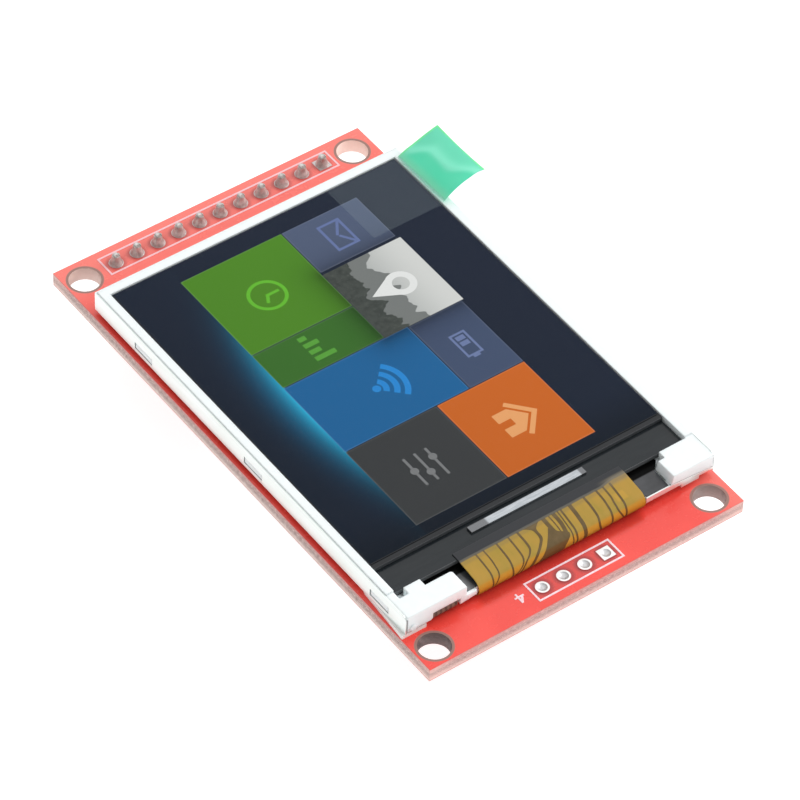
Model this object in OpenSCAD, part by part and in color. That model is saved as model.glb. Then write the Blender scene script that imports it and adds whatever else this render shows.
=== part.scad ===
// Small colour TFT display module: a liquid crystal panel with its backlight
// unit on a red circuit board, with a pin header and a memory card socket.
// The origin is the centre of the four mounting holes, on the underside of the
// board. +Z points to the display's viewing side, +Y to the pin header.

/* [Board] */
// Width of the circuit board along X
board_w = 37.65; // [37.4:0.05:38.4]
// Length of the circuit board along Y
board_l = 63.4; // [63.2:0.1:65]
// Thickness of the circuit board
board_t = 1.6; // [1.2:0.1:2]
// Spacing of the mounting holes along X
hole_dx = 33; // [32.6:0.1:33.4]
// Spacing of the mounting holes along Y
hole_dy = 58.7; // [58.4:0.1:59]
// Diameter of the mounting holes
hole_d = 3.3; // [3:0.1:3.4]

/* [Pin header] */
// Number of pins in the header
pin_count = 11; // [8:1:11]
// Pitch of both pin rows
pitch = 2.54; // [2.5:0.01:2.54]
// Width of one square pin
pin_w = 0.64; // [0.5:0.02:0.66]
// Length of the pins below the housing
pin_free = 6; // [5:0.5:8]
// Number of holes in the small card row
card_row_count = 4; // [2:1:6]

/* [Display] */
// Width of the display unit along X
lcd_w = 37.05; // [36.9:0.05:37.2]
// Length of the display unit along Y
lcd_l = 52.05; // [52.05:0.05:52.3]
// Thickness of the adhesive strips under the display unit
tape_t = 0.45; // [0.42:0.01:0.6]
// Thickness of the metal tray's sheet
tray_t = 0.15; // [0.1:0.01:0.15]
// Thickness of each glass plate
glass_t = 0.48; // [0.4:0.01:0.5]
// Width of the main flex
flex_w = 19.95; // [18:0.05:20]
// Number of backlight diodes
led_count = 4; // [2:1:6]

/* [Pull tab] */
// Width of the pull tab along Y
tab_w = 8; // [6:0.5:10]
// Height that the free end of the pull tab rises to above the film
tab_rise = 2.1; // [0.5:0.1:3]

/* [Card socket] */
// Depth of the card socket along X
socket_d = 28; // [27:0.5:29]
// Width of the card socket along Y
socket_w = 26.6; // [26.4:0.1:27.2]
// Height of the card socket below the board
socket_h = 2.85; // [2.8:0.05:3.2]

/* [Hidden] */
$fn = 48;

// Board outline, a little off the hole pattern's centre
bx0 = 0.2 - board_w / 2;
bx1 = 0.2 + board_w / 2;
by0 = 0.2 - board_l / 2;
by1 = 0.2 + board_l / 2;
pt = board_t;

// Pin rows
head_x = 0.11;
head_y = 29.56;
head_x0 = head_x - pitch * (pin_count - 1) / 2;
card_x = 0.07;
card_y = -29.28;
card_x0 = card_x - pitch * (card_row_count - 1) / 2;
via_r = 0.51;
pad_t = 0.04;
pin_top = pt + 1.3;
house_h = 2.54;

// Display unit outline and levels
lx0 = 0.325 - lcd_w / 2;
lx1 = 0.325 + lcd_w / 2;
ly0 = -1.025 - lcd_l / 2;
ly1 = -1.025 + lcd_l / 2;
zb = pt + tape_t;
z_floor = zb + tray_t;
z_refl = z_floor + 0.07;
z_guide = z_refl + 0.7;
z_diff = z_guide + 0.08;
z_pr1 = z_diff + 0.07;
z_pr2 = z_pr1 + 0.07;
z_rim = z_pr2 + 0.06;
z_pol = z_rim + 0.13;
z_tft = z_pol + glass_t + 0.02;
z_cf = z_tft + glass_t;
z_fpol = z_cf + 0.14;
z_film = z_fpol + 0.06;
z_top = z_fpol - 0.04;
z_wall = z_top - 0.11;
z_ear = z_top - 0.14;
z_ledf = z_guide + 0.10;

// Plan lines of the display unit
fx0 = lx0 + tray_t;
fx1 = lx1 - tray_t;
fy1 = ly1 - tray_t;
gx0 = -17.05;
gx1 = 17.65;
g_front = -23.5;
g_back = 23.75;
cf_front = -20.3;
bay_front = -26.2;
flex_x0 = 0.375 - flex_w / 2;
flex_x1 = 0.375 + flex_w / 2;
flex_t = 0.12;
tail_x0 = -14.8;
tail_x1 = -12.0;
win_l = 3;
win_h = 0.8;
win_z = zb + 0.45;
win_y = [16.48, -2.2, -22.8];

// Card socket, with its mouth at the board's -X edge
sx0 = -16.7;
sx1 = sx0 + socket_d;
sy0 = -3.5 - socket_w / 2;
sy1 = -3.5 + socket_w / 2;

function arc(c, r, a0, a1, n) =
    [for (i = [0:n]) let (a = a0 + (a1 - a0) * i / n) c + r * [cos(a), sin(a)]];

// A line of points moved sideways by d
function side(p, d) = [
    for (i = [0:len(p) - 1])
        let (t = p[min(i + 1, len(p) - 1)] - p[max(i - 1, 0)])
            p[i] + d / norm(t) * [-t[1], t[0]]
];

function back(p) = [for (i = [len(p) - 1:-1:0]) p[i]];

// The flat section of a thin strip that follows a line of points
module strip(p, t) polygon(concat(side(p, t / 2), back(side(p, -t / 2))));

// A section drawn in Y and Z, carried along X from x0 to x1
module along_x(x0, x1) translate([x0, 0, 0]) rotate([90, 0, 90]) linear_extrude(x1 - x0) children();

// A section drawn in X and Z, carried along Y from y0 to y1
module along_y(y0, y1) translate([0, y1, 0]) rotate([90, 0, 0]) linear_extrude(y1 - y0) children();

module slab(x0, x1, y0, y1, z0, z1) translate([x0, y0, z0]) cube([x1 - x0, y1 - y0, z1 - z0]);

module rect(x0, x1, y0, y1) translate([x0, y0]) square([x1 - x0, y1 - y0]);

module round_rect(x0, x1, y0, y1, r) {
    rect(x0 + r, x1 - r, y0, y1);
    rect(x0, x1, y0 + r, y1 - r);
    for (x = [x0 + r, x1 - r], y = [y0 + r, y1 - r]) translate([x, y]) circle(r);
}

module frame_line(x0, x1, y0, y1, w) difference() {
    rect(x0, x1, y0, y1);
    rect(x0 + w, x1 - w, y0 + w, y1 - w);
}

// ---------------------------------------------------------------- the board

module circuit_board() color([0.80, 0.16, 0.12])
    linear_extrude(pt) difference() {
        rect(bx0, bx1, by0, by1);
        for (x = [-hole_dx / 2, hole_dx / 2], y = [-hole_dy / 2, hole_dy / 2]) translate([x, y]) circle(hole_d / 2);
        for (i = [0:pin_count - 1]) translate([head_x0 + pitch * i, head_y]) circle(via_r);
        for (i = [0:card_row_count - 1]) translate([card_x0 + pitch * i, card_y]) circle(via_r);
    }

// A plain figure 4 made of strokes, as a generic position mark
module figure_four(h, w) {
    polygon([[0.62 * h, 0], [0.62 * h, h], [0.62 * h - w, h], [0.62 * h - w, 0]]);
    rect(0, 0.85 * h, 0.28 * h, 0.28 * h + w);
    polygon([[0, 0.28 * h], [w * 1.2, 0.28 * h], [0.62 * h, h - w * 1.1], [0.62 * h, h], [0.62 * h - w, h]]);
}

module silkscreen() color([0.97, 0.93, 0.93]) {
    translate([0, 0, pt]) linear_extrude(0.03) {
        frame_line(-13.95, 14.25, 28.35, 31.05, 0.2);
        frame_line(-5.03, 5.17, -30.62, -27.92, 0.2);
        translate([-5.75, -28.55]) rotate(180) figure_four(1.25, 0.2);
    }
    mirror([0, 0, 1]) linear_extrude(0.03) {
        frame_line(-14.2, 14.4, 28.1, 31.0, 0.2);
        frame_line(-5.03, 5.17, -30.62, -27.92, 0.2);
        difference() {
            frame_line(sx0 - 0.5, sx1 + 2.0, sy0 - 1.0, sy1 + 1.0, 0.2);
            rect(sx0 - 1, sx0, sy0 + 1, sy1 - 1);
        }
        frame_line(7.9, 12.1, 18.0, 22.6, 0.15);
        frame_line(-12.1, -7.9, 18.0, 22.6, 0.15);
    }
}

// One copper land around a hole, round or square, on both sides of the board
module land(x, y, r, sq) for (z = [-pad_t, pt]) translate([x, y, z]) linear_extrude(pad_t) difference() {
    if (sq) square(2 * r, center = true); else circle(r);
    circle(via_r);
}

module header_pads() color([0.80, 0.80, 0.78])
    for (i = [0:pin_count - 1]) land(head_x0 + pitch * i, head_y, 0.76, i == pin_count - 1);

module card_row_pads() color([0.92, 0.92, 0.90])
    for (i = [0:card_row_count - 1])
        land(card_x0 + pitch * i, card_y, 0.78, i == card_row_count - 1);

// Solder that fills an empty plated hole, dished at both faces
module card_row_solder() color([0.78, 0.78, 0.78])
    for (i = [0:card_row_count - 1]) translate([card_x0 + pitch * i, card_y, 0]) rotate_extrude()
        polygon(concat(
            [[0, 0.10]], [[0.2, 0.09], [0.38, 0.04], [via_r, -pad_t]],
            [[via_r, pt + pad_t], [0.38, pt - 0.04], [0.2, pt - 0.09], [0, pt - 0.10]]
        ));

// ---------------------------------------------------------------- the header

module header_housing() color([0.06, 0.06, 0.07])
    translate([0, 0, -pad_t - house_h]) linear_extrude(house_h) difference() {
        for (i = [0:pin_count - 1]) translate([head_x0 + pitch * i, head_y]) {
            square([pitch * 0.55, 2.5], center = true);
            square([pitch + 0.001, 1.6], center = true);
            polygon([for (s = [[1, 1], [-1, 1], [-1, -1], [1, -1]]) for (k = [0, 1])
                s[0] * s[1] > 0 == (k == 0) ? [s[0] * pitch / 2, s[1] * 0.8] : [s[0] * pitch * 0.275, s[1] * 1.25]]);
        }
        for (i = [0:pin_count - 1]) translate([head_x0 + pitch * i, head_y]) square(pin_w, center = true);
    }

// A square pin with tapered ends
module pin(z0, z1) {
    a = pin_w / 2;
    b = a * 0.5;
    p = [[-a, z0 + 0.5], [-b, z0], [b, z0], [a, z0 + 0.5], [a, z1 - 0.35], [b, z1], [-b, z1], [-a, z1 - 0.35]];
    intersection() {
        along_x(-a, a) polygon(p);
        along_y(-a, a) polygon(p);
    }
}

module header_pins() color([0.86, 0.76, 0.46])
    for (i = [0:pin_count - 1]) translate([head_x0 + pitch * i, head_y, 0]) pin(-pad_t - house_h - pin_free, pin_top);

// A solder joint: the filled hole and a hollow-sided cone up the pin
module header_solder() color([0.72, 0.73, 0.74])
    for (i = [0:pin_count - 1]) translate([head_x0 + pitch * i, head_y, 0]) difference() {
        rotate_extrude() polygon(concat(
            [[0, -pad_t], [via_r, -pad_t], [via_r, pt + pad_t]],
            [for (k = [0:7]) let (u = k / 7) [0.40 + 0.31 * pow(1 - u, 1.7), pt + pad_t + 1.05 * pow(u, 0.9)]],
            [[0, pt + pad_t + 1.05]]
        ));
        translate([-pin_w / 2, -pin_w / 2, -1]) cube([pin_w, pin_w, 4]);
    }

// ---------------------------------------------------------------- the backlight unit

module adhesive_strips() color([0.96, 0.95, 0.93]) translate([0, 0, pt]) linear_extrude(tape_t) {
    polygon([[-18.55, -27.0], [-15.7, -27.0], [-15.7, -6], [-17.4, -6], [-17.4, -18], [-18.1, -20.5]]);
    rect(13.2, 18.4, -26.2, -6);
    rect(-16.5, 17.0, 3, 22);
}

module tray_wall() difference() {
    union() {
        rect(ly0 + 0.05, ly1, zb, z_wall - 0.5);
        rect(ly0 + 0.55, ly1, z_wall - 0.5, z_wall);
        translate([ly0 + 0.55, z_wall - 0.5]) circle(0.5);
    }
    for (y = win_y) rect(y - win_l / 2, y + win_l / 2, win_z, win_z + win_h);
}

module metal_tray() color([0.80, 0.82, 0.80]) {
    translate([0, 0, zb]) linear_extrude(tray_t) difference() {
        rect(lx0, lx1, ly0 + 0.3, ly1);
        rect(tail_x0 - 0.5, tail_x1 + 0.5, ly0 - 1, -26.5);
        rect(flex_x0 - 0.35, flex_x1 + 0.35, ly0 - 1, -26.45);
    }
    along_x(lx0, lx0 + tray_t) tray_wall();
    along_x(lx1 - tray_t, lx1) tray_wall();
    along_y(ly1 - tray_t, ly1) difference() {
        rect(lx0, lx1, zb, z_wall);
        for (x = [-11, 11.6]) rect(x - 2, x + 2, win_z, win_z + win_h);
    }
    // tab and lip at the front right
    slab(14.8, 17.0, ly0, ly0 + 0.4, zb, z_floor);
    slab(14.8, 17.0, ly0, ly0 + tray_t, zb, zb + 0.65);
    along_y(ly0, ly0 + tray_t) polygon([
        [flex_x1 + 0.12, zb + 0.56], [lx1 - tray_t, zb + 0.33], [lx1 - tray_t, zb + 0.61], [13.2, zb + 1.15], [flex_x1 + 0.12, zb + 1.15]
    ]);
}

module latches(x0, x1) for (y = win_y)
    slab(x0, x1, y - win_l / 2 + 0.06, y + win_l / 2 - 0.16, win_z + 0.14, win_z + win_h - 0.03);

module plastic_frame() color([0.98, 0.98, 0.97]) {
    difference() {
        union() {
            // sides and back, with the step that carries the glass
            slab(fx0, fx1, bay_front, fy1, z_floor, z_pr2);
            slab(fx0, fx1, g_front - 0.1, fy1, z_pr2, z_top);
            slab(fx0, -17.2, bay_front, g_front, z_pr2, z_ear);
            slab(17.8, fx1, bay_front, g_front, z_pr2, z_ear);
            // left front block and the end of the cross member
            along_y(ly0, bay_front) polygon([
                [fx0, zb + 0.22], [-15.2, zb + 0.22], [-15.0, zb + 0.42], [-15.0, z_ledf + 0.05],
                [-11.8, z_ledf + 0.05], [-11.8, zb + 0.25], [flex_x0 - 0.25, zb + 0.5],
                [flex_x0 - 0.25, z_ledf], [-11.1, z_ledf], [-11.1, z_ear], [fx0, z_ear]
            ]);
            // right front block and the other end
            along_y(ly0 + tray_t, bay_front) polygon([
                [flex_x1 + 0.25, zb + 0.3], [fx1, zb + 0.3], [fx1, z_ear], [13.7, z_ear],
                [13.42, z_ledf], [flex_x1 + 0.25, z_ledf]
            ]);
            along_y(ly0, ly0 + tray_t) polygon([
                [13.46, zb + 1.17], [fx1, zb + 0.66], [fx1, z_ear], [13.7, z_ear]
            ]);
            // cross member behind the flex
            slab(flex_x0 - 0.3, flex_x1 + 0.3, ly0 + 0.3, bay_front, z_floor, z_ledf);
            // left ear
            translate([0, 0, z_pr2]) linear_extrude(z_ear - z_pr2) {
                round_rect(fx0, -11.1, bay_front - 0.6, -24.6, 0.28);
                rect(-12, -11.1, bay_front - 0.6, bay_front);
                round_rect(-16.1, -14.2, -25.2, g_front - 0.08, 0.25);
                rect(fx0, -17.2, -26, g_front);
            }
            // right ear
            along_y(bay_front - 0.1, -24.6) polygon([[13.45, z_pr2], [fx1, z_pr2], [fx1, z_ear], [13.7, z_ear]]);
            translate([0, 0, z_pr2]) linear_extrude(z_ear - z_pr2) {
                round_rect(14.5, fx1, -25.2, g_front - 0.08, 0.25);
            }
            // small rounded stud on the front face
            translate([-17.32, ly0 - 0.12, zb + 0.62]) rotate([-90, 0, 0]) cylinder(h = 0.5, r = 0.4);
            latches(lx0 + 0.03, fx0);
            latches(fx1, lx1 - 0.03);
            for (x = [-11, 11.6]) slab(x - 1.94, x + 1.94, fy1, ly1 - 0.03, win_z + 0.1, win_z + win_h - 0.03);
        }
        // well for the light guide and the diodes
        slab(-16.2, 16.85, bay_front, 23.5, z_floor - 1, z_pr2);
        // well for the glass
        slab(-17.13, 17.73, g_front - 0.2, 23.83, z_pr2, z_top + 1);
        // way out for the backlight tail
        slab(-15.0, -11.8, bay_front - 0.01, bay_front + 0.2, z_floor - 1, z_ledf + 0.05);
    }
}

module reflector() color([0.93, 0.94, 0.95]) slab(-16.1, 16.75, -23.9, 23.4, z_floor, z_refl);

module light_guide() color([0.90, 0.95, 0.97, 0.6]) slab(-16.1, 16.75, -23.85, 23.4, z_refl, z_guide);

module diffuser() color([0.96, 0.96, 0.96]) slab(-16.05, 16.7, -22.75, 23.35, z_guide, z_diff);

module lower_prism_sheet() color([0.88, 0.90, 0.92]) slab(-16.05, 16.7, -22.75, 23.35, z_diff, z_pr1);

module upper_prism_sheet() color([0.86, 0.88, 0.91]) slab(-16.05, 16.7, -22.75, 23.35, z_pr1, z_pr2);

module led_flex() color([0.72, 0.56, 0.30]) {
    slab(-15.1, 12.7, -26.1, -22.85, z_guide, z_ledf);
    along_x(tail_x0, tail_x1) strip(concat(
        [[-26.0, z_guide + 0.05], [-26.15, z_guide + 0.05]],
        arc([-26.25, z_guide + 0.05 - 0.6], 0.6, 90, 270, 16),
        [[-26.15, z_guide + 0.05 - 1.2], [-23.2, z_guide + 0.05 - 1.2]]
    ), 0.1);
}

module leds() color([0.98, 0.93, 0.70]) for (i = [0:led_count - 1]) {
    x = 0.3 + (i - (led_count - 1) / 2) * 28 / led_count;
    difference() {
        slab(x - 1.5, x + 1.5, -24.85, -23.88, z_guide - 0.6, z_guide);
        slab(x - 1.2, x + 1.2, -24.0, -23.8, z_guide - 0.48, z_guide - 0.12);
    }
}

module led_cover_tape() color([0.16, 0.17, 0.18]) translate([0, 0, z_ledf]) linear_extrude(z_pr2 - z_ledf)
    polygon([
        [-15.1, -26.15], [-11.0, -26.15], [-11.0, -26.68], [flex_x1 + 0.3, -26.68], [flex_x1 + 0.35, -26.85],
        [13.25, -26.85], [13.4, -24.6], [14.3, -23.6], [14.3, -22.8], [-15.1, -22.8]
    ]);

module rim_tape() color([0.10, 0.10, 0.11]) translate([0, 0, z_pr2]) linear_extrude(z_rim - z_pr2) difference() {
    rect(-17.0, 17.6, -23.4, 23.7);
    rect(-15.6, 16.2, -20.4, 22.4);
}

// ---------------------------------------------------------------- the panel

module rear_polarizer() color([0.20, 0.20, 0.24]) slab(-16.95, 17.55, -22.4, 23.6, z_rim, z_pol);

module tft_glass() color([0.28, 0.30, 0.31]) slab(gx0, gx1, g_front, g_back, z_pol, z_tft);

module color_filter_glass() color([0.22, 0.24, 0.27]) slab(gx0, gx1, cf_front, g_back, z_tft, z_cf);

module front_polarizer() color([0.12, 0.14, 0.19]) slab(-17.0, 17.5, -19.7, 23.6, z_cf, z_fpol);

module protective_film() color([0.85, 0.88, 0.90, 0.3]) slab(-16.95, 17.45, -19.65, 23.55, z_fpol, z_film);

module driver_chip() color([0.55, 0.57, 0.60]) slab(-6.5, 7.3, -21.65, -20.85, z_tft, z_tft + 0.25);

tab_line = concat(
    [[9.0, z_film + 0.03], [17.4, z_film + 0.03]],
    [for (i = [1:12]) let (u = i / 12) [17.4 + 5.4 * u, z_film + 0.03 + tab_rise * (1 - pow(1 - u, 1.7))]]
);

module pull_tab() color([0.40, 0.84, 0.71, 0.8]) along_y(15.4, 15.4 + tab_w) strip(tab_line, 0.06);

// ---------------------------------------------------------------- the main flex

bend_c = [-26.1, pt + pad_t + flex_t / 2 + 0.95];
bend_r = 0.95;
flex_p0 = [-23.6, z_tft + flex_t / 2];
flex_v = flex_p0 - bend_c;
flex_a = atan2(flex_v[1], flex_v[0]) + acos(bend_r / norm(flex_v));
z_run = pt + pad_t;

module main_flex() color([0.70, 0.57, 0.25]) {
    along_x(flex_x0, flex_x1) strip(concat(
        [[-22.7, flex_p0[1]], flex_p0],
        arc(bend_c, bend_r, flex_a, 270, 24),
        [[-25.9, z_run + flex_t / 2], [-12, z_run + flex_t / 2]]
    ), flex_t);
    // wing that takes the backlight tail, and the tongue with the solder lands
    slab(-15.2, flex_x0 + 0.5, -25.4, -14, z_run, z_run + flex_t);
    slab(-8.2, 8.95, -12.5, -7.2, z_run, z_run + flex_t);
}

// Solder lands under the flex's tongue
module flex_solder() color([0.78, 0.78, 0.78])
    for (i = [0:19]) slab(-7.6 + i * 0.8, -7.15 + i * 0.8, -10.2, -7.4, pt, z_run);

// ---------------------------------------------------------------- the card socket

module socket_base() color([0.07, 0.07, 0.08]) difference() {
    slab(sx0, sx1, sy0 + 0.2, sy1 - 0.2, -socket_h + 0.2, -pad_t);
    // card space, open at the -X end
    slab(sx0 - 1, sx1 - 2.2, -3.5 - 12.15, -3.5 + 12.15, -socket_h, -0.5);
    // keyed corner of the card stays filled, so the back row is cut for the contacts
    for (i = [0:8]) slab(sx1 - 9, sx1 + 1, -3.5 - 10.55 + i * 2.5, -3.5 - 9.45 + i * 2.5, -0.62, 0.1);
}

module socket_contacts() color([0.86, 0.74, 0.40]) for (i = [0:8]) {
    y = -3.5 - 10 + i * 2.5;
    along_y(y - 0.45, y + 0.45) strip([
        [sx1 + 1.3, -pad_t - 0.07], [sx1 + 0.35, -pad_t - 0.07], [sx1 + 0.1, -0.3], [sx1 - 1.8, -0.34],
        [sx1 - 4.5, -0.42], [sx1 - 7.2, -0.85], [sx1 - 7.9, -0.9], [sx1 - 8.6, -0.62]
    ], 0.14);
}

module socket_shell() color([0.78, 0.79, 0.80]) {
    translate([0, 0, -socket_h]) linear_extrude(0.2) difference() {
        round_rect(sx0 + 0.4, sx1 - 0.6, sy0, sy1, 0.3);
        // cut-outs round two pressed springs and a rear window
        for (y = [-3.5 - 8.4, -3.5 + 6.9]) {
            rect(sx0 + 9, sx0 + 16, y, y + 0.4);
            rect(sx0 + 9, sx0 + 16, y + 1.5, y + 1.9);
            rect(sx0 + 9, sx0 + 9.4, y, y + 1.9);
        }
        rect(sx1 - 6.5, sx1 - 3.5, -3.5 - 3.2, -3.5 + 3.2);
        translate([sx0 + 0.4, -3.5]) circle(3.6);
    }
    for (y = [sy0, sy1 - 0.2]) slab(sx0 + 0.7, sx1 - 0.9, y, y + 0.2, -socket_h, -0.35);
    // solder feet
    for (x = [sx0 + 2, sx1 - 5]) {
        slab(x, x + 1.8, sy0, sy0 + 0.2, -0.5, -pad_t);
        slab(x, x + 1.8, sy0 - 0.5, sy0 + 0.2, -pad_t - 0.15, -pad_t);
        slab(x, x + 1.8, sy1 - 0.2, sy1, -0.5, -pad_t);
        slab(x, x + 1.8, sy1 - 0.2, sy1 + 0.5, -pad_t - 0.15, -pad_t);
    }
}

// ---------------------------------------------------------------- small parts on the back

res_xy = [[-9, -21.5], [-5, -21.5], [-1, -21.5], [3, -21.5], [-3.5, 22.5], [-3.5, 19.5], [-3.5, 16.5]];
cap_xy = [[4.3, 22.3], [4.3, 18.6], [-15.2, 15.2], [15.2, 10.5]];
reg_xy = [10, 20.3];
tra_xy = [-10, 20.3];

module chip_pads(c, a, l, w, g) translate([c[0], c[1]]) rotate(a) for (s = [-1, 1]) translate([s * g, 0]) square([l, w], center = true);

module component_pads() color([0.80, 0.80, 0.80]) mirror([0, 0, 1]) linear_extrude(pad_t) {
    for (c = res_xy) chip_pads(c, 0, 0.9, 0.9, 0.85);
    for (c = cap_xy) chip_pads(c, 0, 1.1, 1.3, 1.1);
    for (c = [reg_xy, tra_xy]) {
        for (x = [-0.95, 0.95]) translate([c[0] + x, c[1] - 1.1]) square([0.7, 1.0], center = true);
        translate([c[0], c[1] + 1.1]) square([0.7, 1.0], center = true);
    }
    for (i = [0:8]) translate([sx1 + 0.95, -3.5 - 10 + i * 2.5]) square([1.4, 1.1], center = true);
    for (x = [sx0 + 2, sx1 - 5]) {
        rect(x - 0.2, x + 2, sy0 - 0.65, sy0 + 0.15);
        rect(x - 0.2, x + 2, sy1 - 0.15, sy1 + 0.65);
    }
}

// A three-lead package's body, with drafted sides
module small_body(c, h) translate([c[0], c[1], 0]) intersection() {
    along_x(-1.45, 1.45) polygon([[-0.72, -pad_t - 0.1], [0.72, -pad_t - 0.1], [0.65, -pad_t - h], [-0.65, -pad_t - h]]);
    along_y(-1, 1) polygon([[-1.45, -pad_t - 0.1], [1.45, -pad_t - 0.1], [1.38, -pad_t - h], [-1.38, -pad_t - h]]);
}

module small_lead(c, x, s) translate([c[0] + x, c[1], 0]) along_x(-0.2, 0.2) strip([
    [s * 1.45, -pad_t - 0.07], [s * 1.1, -pad_t - 0.07], [s * 1.0, -pad_t - 0.15], [s * 0.92, -pad_t - 0.48], [s * 0.7, -pad_t - 0.5]
], 0.14);

module small_leads(c) {
    small_lead(c, -0.95, -1);
    small_lead(c, 0.95, -1);
    small_lead(c, 0, 1);
}

module small_part(c) difference() {
    small_body(c, 1.1);
    small_leads(c);
}

module regulator() color([0.09, 0.09, 0.10]) small_part(reg_xy);

module regulator_leads() color([0.75, 0.76, 0.77]) small_leads(reg_xy);

module transistor() color([0.09, 0.09, 0.10]) small_part(tra_xy);

module transistor_leads() color([0.75, 0.76, 0.77]) small_leads(tra_xy);

module capacitors() color([0.62, 0.48, 0.34])
    for (c = cap_xy) slab(c[0] - 1, c[0] + 1, c[1] - 0.62, c[1] + 0.62, -pad_t - 0.9, -pad_t);

module resistors() color([0.13, 0.13, 0.14])
    for (c = res_xy) slab(c[0] - 0.8, c[0] + 0.8, c[1] - 0.4, c[1] + 0.4, -pad_t - 0.45, -pad_t);

circuit_board();
silkscreen();
header_pads();
card_row_pads();
card_row_solder();
header_housing();
header_pins();
header_solder();
adhesive_strips();
metal_tray();
plastic_frame();
reflector();
light_guide();
led_flex();
leds();
led_cover_tape();
diffuser();
lower_prism_sheet();
upper_prism_sheet();
rim_tape();
rear_polarizer();
tft_glass();
color_filter_glass();
front_polarizer();
protective_film();
pull_tab();
driver_chip();
main_flex();
flex_solder();
socket_base();
socket_shell();
socket_contacts();
component_pads();
regulator();
regulator_leads();
transistor();
transistor_leads();
capacitors();
resistors();
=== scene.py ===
import math
import random

import bpy
import bmesh
from mathutils import Matrix, Vector, noise


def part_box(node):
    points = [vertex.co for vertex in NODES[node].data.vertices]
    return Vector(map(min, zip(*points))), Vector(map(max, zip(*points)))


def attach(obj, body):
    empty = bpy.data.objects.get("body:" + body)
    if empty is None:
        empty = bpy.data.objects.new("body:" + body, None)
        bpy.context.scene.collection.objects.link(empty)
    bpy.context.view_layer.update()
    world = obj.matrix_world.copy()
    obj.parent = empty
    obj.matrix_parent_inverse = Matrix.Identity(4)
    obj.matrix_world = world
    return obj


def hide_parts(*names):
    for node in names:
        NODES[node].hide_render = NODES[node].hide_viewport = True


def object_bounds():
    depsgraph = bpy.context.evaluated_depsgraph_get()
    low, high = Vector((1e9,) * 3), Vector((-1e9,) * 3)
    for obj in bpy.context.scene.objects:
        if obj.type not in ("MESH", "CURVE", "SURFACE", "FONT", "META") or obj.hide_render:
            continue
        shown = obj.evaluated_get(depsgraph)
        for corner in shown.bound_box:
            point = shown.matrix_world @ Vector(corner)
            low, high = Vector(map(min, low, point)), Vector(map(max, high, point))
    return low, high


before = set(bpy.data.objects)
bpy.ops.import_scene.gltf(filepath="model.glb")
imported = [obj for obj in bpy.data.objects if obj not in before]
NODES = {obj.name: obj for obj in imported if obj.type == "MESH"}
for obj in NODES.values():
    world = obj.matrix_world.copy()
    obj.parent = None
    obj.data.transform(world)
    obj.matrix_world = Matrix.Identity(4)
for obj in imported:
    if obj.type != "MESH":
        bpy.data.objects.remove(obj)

CAD_BOX = [list(v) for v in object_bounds()]
MM = 0.001
ROOT = "root"
random.seed(11)


# ------------------------------------------------------------------ shader helpers

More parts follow.
